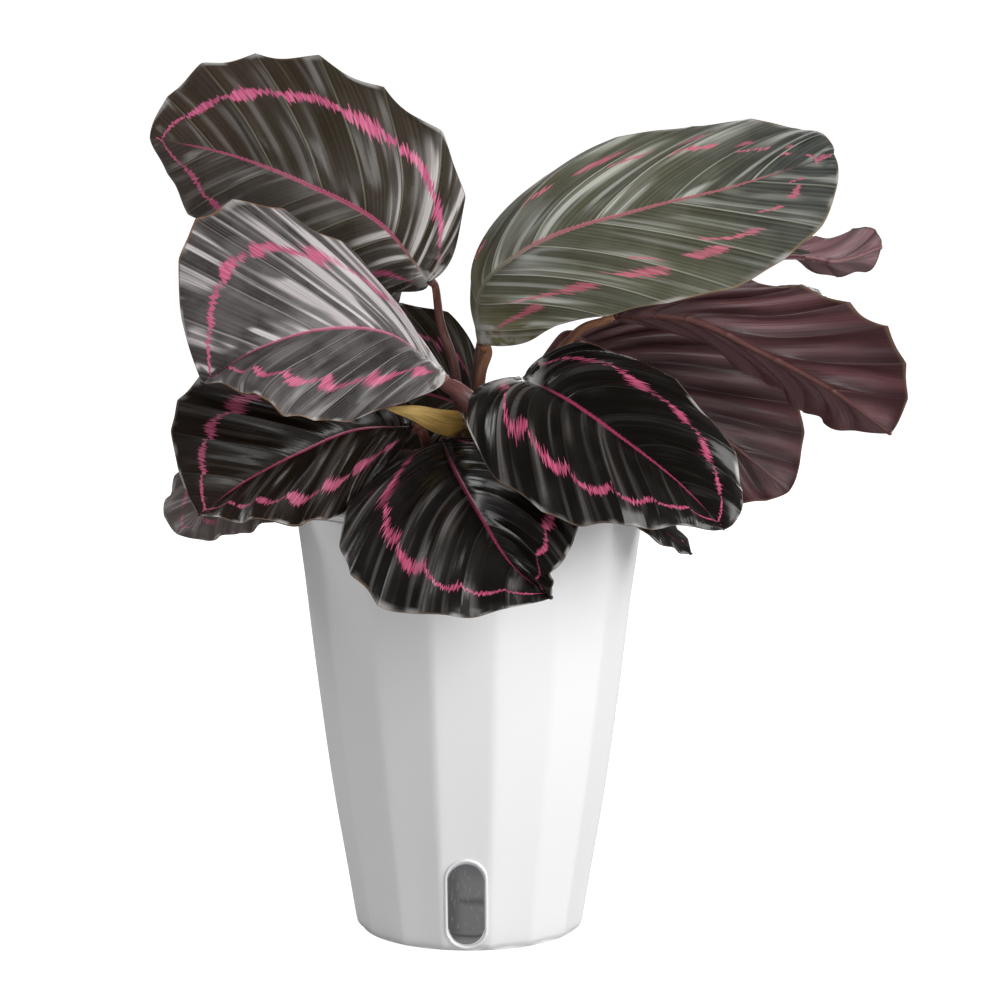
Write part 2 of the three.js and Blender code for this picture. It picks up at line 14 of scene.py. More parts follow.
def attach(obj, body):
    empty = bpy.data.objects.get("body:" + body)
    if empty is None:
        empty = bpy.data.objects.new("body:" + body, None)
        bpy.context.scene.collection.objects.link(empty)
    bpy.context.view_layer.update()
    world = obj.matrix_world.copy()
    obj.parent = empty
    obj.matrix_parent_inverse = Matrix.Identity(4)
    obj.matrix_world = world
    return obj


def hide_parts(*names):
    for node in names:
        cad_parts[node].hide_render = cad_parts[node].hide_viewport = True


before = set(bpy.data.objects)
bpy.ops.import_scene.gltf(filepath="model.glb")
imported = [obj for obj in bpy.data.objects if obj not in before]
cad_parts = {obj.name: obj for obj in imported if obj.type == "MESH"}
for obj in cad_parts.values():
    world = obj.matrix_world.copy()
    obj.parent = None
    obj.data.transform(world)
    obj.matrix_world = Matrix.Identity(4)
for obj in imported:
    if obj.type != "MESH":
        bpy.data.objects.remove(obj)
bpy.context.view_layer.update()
scene = bpy.context.scene

# The studio: a camera at the photograph's distance and height looks at the plant over a pale
# floor. The key light stands at the right, and weaker ones at the left, low in front and behind.
VIEW_DISTANCE = 1.6
VIEW_ELEVATION = math.radians(8)
VIEW_CENTRE = Vector((0.013, 0, 0.187))
LENS_MM = 134.03

camera_data = bpy.data.cameras.new("camera")
camera_data.lens = LENS_MM
camera = bpy.data.objects.new("camera", camera_data)
towards_camera = Vector((0, -math.cos(VIEW_ELEVATION), math.sin(VIEW_ELEVATION)))
camera.location = VIEW_CENTRE + towards_camera * VIEW_DISTANCE
camera.rotation_euler = (-towards_camera).to_track_quat("-Z", "Y").to_euler()
scene.collection.objects.link(camera)
scene.camera = camera
scene.view_settings.view_transform = "Standard"


def soft_box(name, place, width, height, watts):
    light = bpy.data.lights.new(name, "AREA")
    light.shape = "RECTANGLE"
    light.size = width
    light.size_y = height
    light.energy = watts
    lamp = bpy.data.objects.new(name, light)
    lamp.location = place
    lamp.rotation_euler = (VIEW_CENTRE - Vector(place)).to_track_quat("-Z", "Y").to_euler()
    scene.collection.objects.link(lamp)


soft_box("key_soft_box", (1.2, -0.9, 0.9), 1.1, 1.1, 29)
soft_box("back_left_soft_box", (-1.2, 0.35, 1.25), 0.5, 0.9, 10)
soft_box("front_soft_box", (-0.1, -1.5, 0.12), 0.9, 0.3, 4)
soft_box("rear_soft_box", (0.5, 1.5, 0.6), 0.9, 0.6, 8)


class Output:
    """What a node gives. Sums and products with it add the nodes that work them out."""

    def __init__(self, socket):
        self.socket = socket
        self.tree = socket.id_data

    def __add__(self, other):
        return maths("ADD", self, other)

    def __sub__(self, other):
        return maths("SUBTRACT", self, other)

    def __rsub__(self, other):
        return maths("SUBTRACT", other, self)

    def __mul__(self, other):
        return maths("MULTIPLY", self, other)

    def __truediv__(self, other):
        return maths("DIVIDE", self, other)

    def __abs__(self):
        return maths("ABSOLUTE", self)


def connect(socket, value):
    """Gives an input either a link from a node's output or a plain value."""
    if isinstance(value, Output):
        socket.id_data.links.new(value.socket, socket)
    else:
        socket.default_value = value


def add_node(tree, kind, settings=None, **inputs):
    """A node of that kind, with its settings, and its inputs given by name with _ for a space."""
    node = tree.nodes.new("ShaderNode" + kind)
    for name, value in (settings or {}).items():
        setattr(node, name, value)
    for name, value in inputs.items():
        connect(node.inputs[name.replace("_", " ")], value)
    return node


def output_of(tree, kind, output, settings=None, **inputs):
    """The same, but what the node gives at that output."""
    return Output(add_node(tree, kind, settings, **inputs).outputs[output])


def tree_of(*values):
    """The node tree that these values stand in. Some may be plain numbers or colours."""
    return next(value.tree for value in values if isinstance(value, Output))


def maths(operation, *values):
    node = add_node(tree_of(*values), "Math", {"operation": operation})
    for socket, value in zip(node.inputs, values):
        connect(socket, value)
    return Output(node.outputs[0])


def ramp(value, low, high, start=0.0, end=1.0, kind="SMOOTHSTEP"):
    """The value's way from low to high, smoothed or LINEAR, as a number from start to end."""
    return output_of(
        value.tree, "MapRange", 0, {"interpolation_type": kind},
        Value=value, From_Min=low, From_Max=high, To_Min=start, To_Max=end,
    )


def mix_colours(share, first, second):
    node = add_node(tree_of(share, first, second), "Mix", {"data_type": "RGBA"}, Factor=share)
    connect(node.inputs[6], first)
    connect(node.inputs[7], second)
    return Output(node.outputs[2])


def parts_of(vector):
    """A vector's X, Y and Z."""
    parts = add_node(vector.tree, "SeparateXYZ", Vector=vector).outputs
    return [Output(part) for part in parts]


def vector_of(x, y, z=0.0):
    return output_of(tree_of(x, y, z), "CombineXYZ", 0, X=x, Y=y, Z=z)


def object_place(tree):
    return output_of(tree, "TexCoord", "Object")


def mottle(place, scale, detail, roughness=0.5):
    """Cloudy noise around 0.5."""
    return output_of(
        place.tree, "TexNoise", 0, Vector=place, Scale=scale, Detail=detail, Roughness=roughness,
    )


WHITE = (1, 1, 1, 1)
SURROUND_LOW = (0.45, 0.45, 0.45, 1)
SURROUND_HIGH = (0.08, 0.08, 0.082, 1)
world = bpy.data.worlds.new("surround")
world.use_nodes = True
scene.world = world
tree = world.node_tree
seen = tree.nodes["Background"]
seen.inputs["Color"].default_value = WHITE
upwards = ramp(parts_of(output_of(tree, "TexCoord", "Generated"))[2], 0.1, 0.6, kind="LINEAR")
surround = mix_colours(upwards, SURROUND_LOW, SURROUND_HIGH)
chosen = add_node(tree, "MixShader", Fac=output_of(tree, "LightPath", "Is Camera Ray"))
connect(chosen.inputs[1], output_of(tree, "Background", 0, Color=surround))
connect(chosen.inputs[2], Output(seen.outputs[0]))
connect(tree.nodes["World Output"].inputs["Surface"], Output(chosen.outputs[0]))


def new_piece(name, bm, *materials):
    """Turns a finished bmesh into an object at the origin, with its materials in their slots."""
    mesh = bpy.data.meshes.new(name)
    bm.to_mesh(mesh)
    bm.free()
    for material in materials:
        mesh.materials.append(material)
    made = bpy.data.objects.new(name, mesh)
    scene.collection.objects.link(made)
    return made


def new_material(name, **constants):
    """A material whose Principled shader has these plain values."""
    material = bpy.data.materials.new(name)
    material.use_nodes = True
    shader = material.node_tree.nodes["Principled BSDF"]
    for socket, value in constants.items():
        shader.inputs[socket.replace("_", " ")].default_value = value
    return material, shader


FLOOR_HALF = 300
FLOOR_GREY = (0.45, 0.45, 0.45, 1)
floor_material, shader = new_material(
    "floor", Roughness=0.9, Base_Color=FLOOR_GREY, Emission_Color=WHITE,
)
camera_ray = output_of(shader.id_data, "LightPath", "Is Camera Ray")
connect(shader.inputs["Emission Strength"], camera_ray)
bm = bmesh.new()
bmesh.ops.create_grid(bm, x_segments=2, y_segments=2, size=FLOOR_HALF)
floor = new_piece("floor", bm, floor_material)

# The outer pot: injection-moulded white plastic, sixteen shallow flutes that fade out below the
# rim, and a slot with a raised edge at the front of the foot for the water window.
MM = 0.001
# Height and radius of the wall's outside, before the flutes.
WALL_PROFILE = np.array([(0, 49.2), (27, 53.6), (67, 60.3), (119, 67.2), (172, 73.2), (185, 75)]) * MM
RIM_Z = WALL_PROFILE[-1, 0]
RIM_RADIUS = WALL_PROFILE[-1, 1]
WALL = 2.4 * MM
POT_FLOOR = 2.4 * MM
FOOT_FILLET = 5 * MM
FILLET_TURN = math.radians(80)
RIM_ROUNDING = 0.7 * MM
FLUTES = 16
FLUTE_DEPTH = 1.3 * MM
FLUTES_FADE_Z = 128 * MM
FLUTES_END_Z = 178 * MM
WINDOW_TURN = math.radians(-1.4)
POT_STEPS = 192
WHITE_PLASTIC = (0.82, 0.82, 0.83, 1)
DUST = (0.42, 0.38, 0.33, 1)


def new_group(name, inputs):
    """An empty node group for a surface's looks, what it is given and the results to join."""
    group = bpy.data.node_groups.new(name, "ShaderNodeTree")
    for label, kind in inputs:
        group.interface.new_socket(label, in_out="INPUT", socket_type="NodeSocket" + kind)
    for label, kind in (("Color", "Color"), ("Roughness", "Float"), ("Height", "Float")):
        group.interface.new_socket(label, in_out="OUTPUT", socket_type="NodeSocket" + kind)
    given = {socket.name: Output(socket) for socket in group.nodes.new("NodeGroupInput").outputs}
    return group, given, group.nodes.new("NodeGroupOutput").inputs


def finish_surface(shader, group, **values):
    """Joins a group's colour, roughness and height, in metres, to the shader. The values go to the
    group's inputs."""
    tree = shader.id_data
    looks = add_node(tree, "Group", {"node_tree": group}, **values).outputs
    for name, result in (("Base Color", "Color"), ("Roughness", "Roughness")):
        connect(shader.inputs[name], Output(looks[result]))
    normal = output_of(tree, "Bump", 0, Distance=1.0, Height=Output(looks["Height"]))
    connect(shader.inputs["Normal"], normal)


# Moulded plastic: a tint with faint clouds, a little dust and specks towards the foot, fine grain.
moulded, given, result = new_group(
    "moulded_plastic", [("Tint", "Color"), ("Gloss", "Float"), ("Dust", "Float")],
)
place = object_place(moulded)
clouds = mottle(place, 18, 3)
grain = mottle(place, 2600, 2)
cells = output_of(moulded, "TexVoronoi", "Distance", Vector=place, Scale=420)
specks = ramp(cells, 0.05, 0.16, 1, 0, "LINEAR")
scuffs = ramp(parts_of(place)[2], 0, 20 * MM, 1, 0.25, "LINEAR")
dust_share = given["Dust"] * scuffs * (clouds + specks)
connect(result["Color"], mix_colours(dust_share, given["Tint"], DUST))
connect(result["Roughness"], clouds * 0.12 + given["Gloss"])
connect(result["Height"], clouds * (0.22 * MM) + grain * (0.01 * MM))

pot_material, shader = new_material("white_pot_plastic", IOR=1.5)
finish_surface(shader, moulded, Tint=WHITE_PLASTIC, Gloss=0.3, Dust=0.05)


def smooth_curve(points, u):
    """Points on a Catmull-Rom curve at shares u of the way along."""
    knots = np.vstack([2 * points[0] - points[1], points, 2 * points[-1] - points[-2]])
    at = np.clip(u, 0, 1) * (len(points) - 1)
    first = np.minimum(at.astype(int), len(points) - 2)
    w = (at - first)[..., None]
    p0, p1, p2, p3 = (knots[first + k] for k in range(4))
    t0 = (p2 - p0) / 2
    t1 = (p3 - p1) / 2
    return ((2 * (p1 - p2) + t0 + t1) * w + 3 * (p2 - p1) - 2 * t0 - t1) * w * w + t0 * w + p1


wall_curve = smooth_curve(WALL_PROFILE, np.linspace(0, 1, 81))


def wall_radius(z):
    return float(np.interp(z, wall_curve[:, 0], wall_curve[:, 1]))


def flute_depth(z):
    """How deep the flutes are: nearly flat faces, which turn round just below the rim."""
    fade = min(1, max(0, (z - FLUTES_FADE_Z) / (FLUTES_END_Z - FLUTES_FADE_Z)))
    return FLUTE_DEPTH * (1 - fade * fade * (3 - 2 * fade))


def inner_radius(z):
    return wall_radius(z) - flute_depth(z) - WALL


def spun(profile, steps):
    """A profile of (radius, height) points, from the axis back to the axis, turned round it."""
    bm = bmesh.new()
    rings = []
    for radius, z in profile:
        turns = [2 * math.pi * i / steps for i in range(steps if radius > 0 else 1)]
        rings.append([bm.verts.new((radius * math.cos(t), radius * math.sin(t), z)) for t in turns])
    for low, high in zip(rings, rings[1:]):
        for i in range(steps):
            corners = ((low, i), (low, i + 1), (high, i + 1), (high, i))
            bm.faces.new(list(dict.fromkeys(ring[k % len(ring)] for ring, k in corners)))
    bmesh.ops.recalc_face_normals(bm, faces=bm.faces)
    return bm


def shade_smooth(bm, sharpest=math.radians(40)):
    for face in bm.faces:
        face.smooth = True
    for edge in bm.edges:
        edge.smooth = edge.calc_face_angle(0) < sharpest


foot = wall_radius(0)
profile = [(0, 0), (foot - FOOT_FILLET - 2 * MM, 0)]
for step in range(9):
    turn = FILLET_TURN * step / 8
    rise = FOOT_FILLET * (1 - math.cos(turn))
    profile.append((foot - FOOT_FILLET * (1 - math.sin(turn)) + 0.15 * rise, rise))
outer_heights = np.linspace(7 * MM, RIM_Z - RIM_ROUNDING, 34)
profile += [(wall_radius(z), z) for z in outer_heights]
for step in range(1, 4):
    turn = math.pi / 2 * step / 3
    out = RIM_RADIUS - RIM_ROUNDING * (1 - math.cos(turn))
    profile.append((out, RIM_Z - RIM_ROUNDING * (1 - math.sin(turn))))
for step in range(1, 4):
    turn = math.pi / 2 * step / 3
    out = RIM_RADIUS - WALL + RIM_ROUNDING * (1 - math.sin(turn))
    profile.append((out, RIM_Z - RIM_ROUNDING * (1 - math.cos(turn))))
profile += [(inner_radius(z), z) for z in np.linspace(RIM_Z - 3 * MM, POT_FLOOR, 14)]
profile.append((0, POT_FLOOR))
bm = spun(profile, POT_STEPS)
for vert in bm.verts:
    x, y, z = vert.co
    radius = math.hypot(x, y)
    if z < 0.1 * MM or radius < inner_radius(z) + 0.5 * WALL:
        continue
    turn = (math.atan2(x, -y) - WINDOW_TURN) / (2 * math.pi)
    share = (turn * FLUTES + 0.5) % 1
    kept = 1 - flute_depth(z) * (1 - (2 * share - 1) ** 2) / radius
    vert.co = (x * kept, y * kept, z)
shade_smooth(bm)
outer_pot = new_piece("fluted_pot", bm, pot_material)

WINDOW_WIDTH = 14.8 * MM
WINDOW_LOW_Z = 3.4 * MM
WINDOW_HIGH_Z = 40.4 * MM
LIP_PROUD = 0.8 * MM
WINDOW_TALL = WINDOW_HIGH_Z - WINDOW_LOW_Z
window_slope = (wall_radius(WINDOW_HIGH_Z) - wall_radius(WINDOW_LOW_Z)) / WINDOW_TALL


def wall_face(z):
    """How far the pot's front stands out at the window, in the middle of its flute."""
    return wall_radius(WINDOW_LOW_Z) - flute_depth(20 * MM) + window_slope * (z - WINDOW_LOW_Z)


def stadium(turn, grow=0.0):
    """The window's round-ended outline: across and up, at an angle from its lowest point."""
    half = WINDOW_WIDTH / 2 + grow
    straight = (WINDOW_TALL - WINDOW_WIDTH) / 2
    middle = (WINDOW_HIGH_Z + WINDOW_LOW_Z) / 2
    lift = straight if math.cos(turn) < 0 else -straight
    return half * math.sin(turn), middle + lift - half * math.cos(turn)


def window_plate(grow, inner, outer, round_edge=0.0):
    """A plate with the window's outline that follows the wall's slope."""
    bm = bmesh.new()
    bmesh.ops.create_circle(bm, cap_ends=True, segments=96, radius=1)
    made = bmesh.ops.extrude_face_region(bm, geom=bm.faces[:])
    for item in made["geom"]:
        if isinstance(item, bmesh.types.BMVert):
            item.co.z = 1
    for vert in bm.verts:
        x, y, side = vert.co
        across, z = stadium(math.atan2(x, -y), grow)
        vert.co = (across, -wall_face(z) - (outer if side > 0.5 else inner), z)
    if round_edge:
        front = [
            edge for edge in bm.edges
            if all(-vert.co.y > wall_face(vert.co.z) + outer - 1e-6 for vert in edge.verts)
        ]
        bmesh.ops.bevel(
            bm, geom=front, offset=round_edge, segments=3, profile=0.5, affect="EDGES", material=-1,
        )
    bmesh.ops.recalc_face_normals(bm, faces=bm.faces)
    bmesh.ops.rotate(bm, verts=bm.verts, matrix=Matrix.Rotation(WINDOW_TURN, 3, "Z"), cent=(0, 0, 0))
    return bm


def cut_away(target, bm):
    """Cuts a shape out of a piece and keeps the result as plain mesh."""
    cutter = new_piece("cutter", bm)
    cut = target.modifiers.new("cut", "BOOLEAN")
    cut.operation = "DIFFERENCE"
    cut.solver = "EXACT"
    cut.object = cutter
    depsgraph = bpy.context.evaluated_depsgraph_get()
    whole = target.data
    target.data = bpy.data.meshes.new_from_object(target.evaluated_get(depsgraph))
    target.modifiers.clear()
    bpy.data.meshes.remove(whole)
    bpy.data.meshes.remove(cutter.data)


cut_away(outer_pot, window_plate(0.2 * MM, -8 * MM, 4 * MM))
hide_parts("outer_pot")
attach(outer_pot, "root")


def tube(rings, sides, centre_and_axes, radii, closed=False):
    """A round bar along a line. centre_and_axes(u) gives its middle and two directions across,
    radii(u, turn) how far it reaches each way. Its UV map runs along it and round it."""
    bm = bmesh.new()
    bmesh.ops.create_grid(bm, x_segments=rings, y_segments=sides, size=0.5)
    uv_map = bm.loops.layers.uv.new("length_and_turn")
    for face in bm.faces:
        face.smooth = True
        for loop in face.loops:
            loop[uv_map].uv = (loop.vert.co.x + 0.5, loop.vert.co.y + 0.5)
    for vert in bm.verts:
        u = min(1, max(0, vert.co.x + 0.5))
        turn = 2 * math.pi * (vert.co.y + 0.5)
        centre, across, back = centre_and_axes(u)
        wide, deep = radii(u, turn)
        sideways = Vector(across) * wide * math.cos(turn)
        vert.co = Vector(centre) + sideways + Vector(back) * deep * math.sin(turn)
    bmesh.ops.remove_doubles(bm, verts=bm.verts, dist=1e-7)
    if not closed:
        bmesh.ops.holes_fill(bm, edges=bm.edges)
    bmesh.ops.recalc_face_normals(bm, faces=bm.faces)
    return bm


EDGE_HALF = 0.75 * MM


def slot_edge(u):
    turn = 2 * math.pi * u
    across, z = stadium(turn, 0.35 * MM + EDGE_HALF)
    out = Vector((math.sin(turn), 0, -math.cos(turn)))
    return (across, -wall_face(z) - 0.1 * MM, z), out, (0, -1, 0)


bm = tube(160, 16, slot_edge, lambda u, turn: (EDGE_HALF, LIP_PROUD), closed=True)
bmesh.ops.rotate(bm, verts=bm.verts, matrix=Matrix.Rotation(WINDOW_TURN, 3, "Z"), cent=(0, 0, 0))
slot_rim = new_piece("slot_rim", bm, pot_material)
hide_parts("outer_pot")
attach(slot_rim, "root")

# The water window: a smoky clear pane moulded with round ends, pressed into the slot. Painted shade
# darkens it in bands where the water line and the liner's floor lie behind it, and at its left side
# and top, with damp streaks between them.
FIT = 0.3 * MM
PANE_THICKNESS = 3 * MM
PANE_TINT = (0.2, 0.2, 0.205, 1)
PANE_SHADE = (0.085, 0.085, 0.09, 1)
PANE_WET = (0.34, 0.34, 0.345, 1)
BAND_Z = 24 * MM
WATER_LINE_Z = 8 * MM
WATER_LINE_CURVE = 22

pane_material, shader = new_material(
    "smoky_pane", Roughness=0.12, Transmission_Weight=0.25, IOR=1.49, Coat_Weight=0.6,
    Coat_Roughness=0.05,
)
place = object_place(shader.id_data)
across, _, height = parts_of(place)
height = mottle(place, 90, 2) * (1.2 * MM) + height
above_line = height - across * across * WATER_LINE_CURVE - WATER_LINE_Z
# Painted shade: the band, the water line, the left side and the top turn towards the shade colour.
band = ramp(abs(height - BAND_Z), 0, 2.6 * MM, 0.75, 0)
line = ramp(abs(above_line), 0.2 * MM, 1.1 * MM, 1, 0)
sides = ramp(across, -WINDOW_WIDTH / 2, -0.1 * WINDOW_WIDTH, 0.8, 0)
upper = ramp(height, 30 * MM, 41 * MM, 0, 0.55)
shading = maths("MAXIMUM", maths("MAXIMUM", band, line), maths("MAXIMUM", sides, upper))
tint = mix_colours(shading, PANE_TINT, PANE_SHADE)
runs = ramp(mottle(vector_of(across, height * 0.3), 900, 2), 0.56, 0.68, 0, 0.4)
runs = runs * ramp(above_line, 0, 3 * MM)
wet = maths("MAXIMUM", runs, ramp(above_line, -2.4 * MM, -1.2 * MM, 0.45, 0))
connect(shader.inputs["Base Color"], mix_colours(wet, tint, PANE_WET))

pane_front = LIP_PROUD - 0.2 * MM
bm = window_plate(-FIT, pane_front - PANE_THICKNESS, pane_front, round_edge=0.5 * MM)
shade_smooth(bm)
pane = new_piece("window_pane", bm, pane_material)
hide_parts("water_window")
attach(pane, "root")

# The inner pot: a grey plastic liner that hangs by its lip on the outer pot's rim. Its narrow
# foot stands in the water and lets it in through six slots.
LINER_GAP = 2 * MM
LINER_WALL = 1.6 * MM
LINER_FLOOR_Z = 46 * MM
WICK_FOOT_RADIUS = 19 * MM
WICK_FOOT_Z = 6 * MM
SOIL_Z = 172 * MM
WICK_SLOTS = 6
SLOT_SIZE = Vector((10, 3, 22)) * MM
SLOT_MIDDLE_Z = 25 * MM
LIP_Z = RIM_Z + FIT
TOP_Z = LIP_Z + 2 * MM
LIP_RADIUS = 75.4 * MM
LOW_BEND_Z = 93 * MM
HIGH_BEND_Z = 146 * MM
LINER_PLASTIC = (0.68, 0.68, 0.69, 1)


def liner_radius(z):
    return inner_radius(z) - LINER_GAP


inside_top = liner_radius(LIP_Z) - LINER_WALL
bm = spun(
    [
        (0, WICK_FOOT_Z),
        (WICK_FOOT_RADIUS - 2 * MM, WICK_FOOT_Z),
        (WICK_FOOT_RADIUS, LINER_FLOOR_Z),
        (liner_radius(LINER_FLOOR_Z), LINER_FLOOR_Z),
        (liner_radius(LOW_BEND_Z), LOW_BEND_Z),
        (liner_radius(HIGH_BEND_Z), HIGH_BEND_Z),
        (liner_radius(SOIL_Z), SOIL_Z),
        (liner_radius(LIP_Z), LIP_Z),
        (LIP_RADIUS, LIP_Z),
        (LIP_RADIUS, TOP_Z - 0.6 * MM),
        (LIP_RADIUS - 0.2 * MM, TOP_Z - 0.2 * MM),
        (LIP_RADIUS - 0.6 * MM, TOP_Z),
        (inside_top + 0.5 * MM, TOP_Z),
        (inside_top, TOP_Z - 0.5 * MM),
        (liner_radius(SOIL_Z) - LINER_WALL, SOIL_Z),
        (liner_radius(HIGH_BEND_Z) - LINER_WALL, HIGH_BEND_Z),
        (liner_radius(LOW_BEND_Z) - LINER_WALL, LOW_BEND_Z),
        (liner_radius(LINER_FLOOR_Z) - LINER_WALL, LINER_FLOOR_Z + LINER_WALL),
        (WICK_FOOT_RADIUS - LINER_WALL, LINER_FLOOR_Z + LINER_WALL),
        (WICK_FOOT_RADIUS - 2 * MM - LINER_WALL, WICK_FOOT_Z + LINER_WALL),
        (0, WICK_FOOT_Z + LINER_WALL),
    ],
    128,
)
shade_smooth(bm)
liner_material, shader = new_material("liner_plastic", IOR=1.5)
finish_surface(shader, moulded, Tint=LINER_PLASTIC, Gloss=0.4, Dust=0.25)
liner = new_piece("liner", bm, liner_material)
slots = bmesh.new()
for i in range(WICK_SLOTS):
    turn = Matrix.Rotation((i + 0.5) * 2 * math.pi / WICK_SLOTS, 4, "Z")
    stand = Matrix.Translation((WICK_FOOT_RADIUS, 0, SLOT_MIDDLE_Z))
    bmesh.ops.create_cube(slots, size=1, matrix=turn @ stand @ Matrix.Diagonal((*SLOT_SIZE, 1)))
cut_away(liner, slots)
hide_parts("inner_pot")
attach(liner, "root")

# The soil: dark peat with bark crumbs and a few pale grains, filling the liner and its foot, a
# little higher in the middle and lumpy on top.
SOIL_MOUND = 3 * MM
SOIL_EDGE = liner_radius(SOIL_Z) - LINER_WALL - FIT
LUMPS = 1.5 * MM
CRUMBS = 620
CRUMB_SIZES = (0.6, 2.1)
TOP_RINGS = 46
DARK_PEAT = (0.012, 0.007, 0.004, 1)
PEAT = (0.05, 0.03, 0.018, 1)
BARK = (0.12, 0.06, 0.03, 1)
PALE_GRAIN = (0.5, 0.47, 0.42, 1)
soil_foot = WICK_FOOT_RADIUS - LINER_WALL - FIT
soil_floor = LINER_FLOOR_Z + LINER_WALL + FIT


def soil_height(x, y):
    """The soil's top, with lumps that fade out towards the liner."""
    share = math.hypot(x, y) / SOIL_EDGE
    here = Vector((x, y, 0))
    lump = noise.noise(here * 90) + 0.5 * noise.noise(here * 260) + 0.3 * noise.noise(here * 700)
    return SOIL_Z + SOIL_MOUND * (1 - share * share) + LUMPS * lump * min(1, 6 * (1 - share))


profile = [
    (0, WICK_FOOT_Z + LINER_WALL + FIT),
    (soil_foot - 2 * MM, WICK_FOOT_Z + LINER_WALL + FIT),
    (soil_foot, soil_floor),
    (liner_radius(LINER_FLOOR_Z) - LINER_WALL - FIT, soil_floor),
    (liner_radius(LOW_BEND_Z) - LINER_WALL - FIT, LOW_BEND_Z),
    (liner_radius(HIGH_BEND_Z) - LINER_WALL - FIT, HIGH_BEND_Z),
    (SOIL_EDGE, SOIL_Z),
]
profile += [(SOIL_EDGE * (1 - i / TOP_RINGS), SOIL_Z) for i in range(1, TOP_RINGS + 1)]
bm = spun(profile, 144)
for vert in bm.verts:
    if vert.co.z > SOIL_Z - MM:
        vert.co.z = soil_height(vert.co.x, vert.co.y)
shuffle = random.Random(7)
for i in range(CRUMBS):
    turn = shuffle.uniform(0, 2 * math.pi)
    out = (SOIL_EDGE - 3 * MM) * math.sqrt(shuffle.random())
    x, y = out * math.cos(turn), out * math.sin(turn)
    size = shuffle.uniform(*CRUMB_SIZES) * MM
    sides = (size, size * shuffle.uniform(0.5, 0.9), size * shuffle.uniform(0.35, 0.7))
    shape = Matrix.Diagonal((*sides, 1))
    tilt = Matrix.Rotation(shuffle.uniform(0, 6), 4, (shuffle.random(), shuffle.random(), 1))
    there = Matrix.Translation((x, y, soil_height(x, y) + 0.2 * size))
    bmesh.ops.create_icosphere(bm, subdivisions=1, radius=1, matrix=there @ tilt @ shape)
shade_smooth(bm)
soil_material, shader = new_material("potting_soil", Specular_IOR_Level=0.25)
tree = shader.id_data
place = object_place(tree)
damp = mottle(place, 60, 6, 0.7)
fibres = mottle(place, 900, 4, 0.7)
grains = output_of(tree, "TexVoronoi", "Color", Vector=place, Scale=330)
colour = mix_colours(ramp(damp, 0.35, 0.65), DARK_PEAT, PEAT)
colour = mix_colours(ramp(fibres, 0.45, 0.62, 0, 0.7), colour, BARK)
colour = mix_colours(ramp(parts_of(grains)[0], 0.955, 0.97), colour, PALE_GRAIN)
connect(shader.inputs["Base Color"], colour)
connect(shader.inputs["Roughness"], ramp(damp, 0.3, 0.7, 0.95, 0.7))
connect(shader.inputs["Normal"], output_of(tree, "Bump", 0, Distance=1.0, Height=fibres * (0.5 * MM)))
soil = new_piece("potting_mix", bm, soil_material)
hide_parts("soil")
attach(soil, "root")
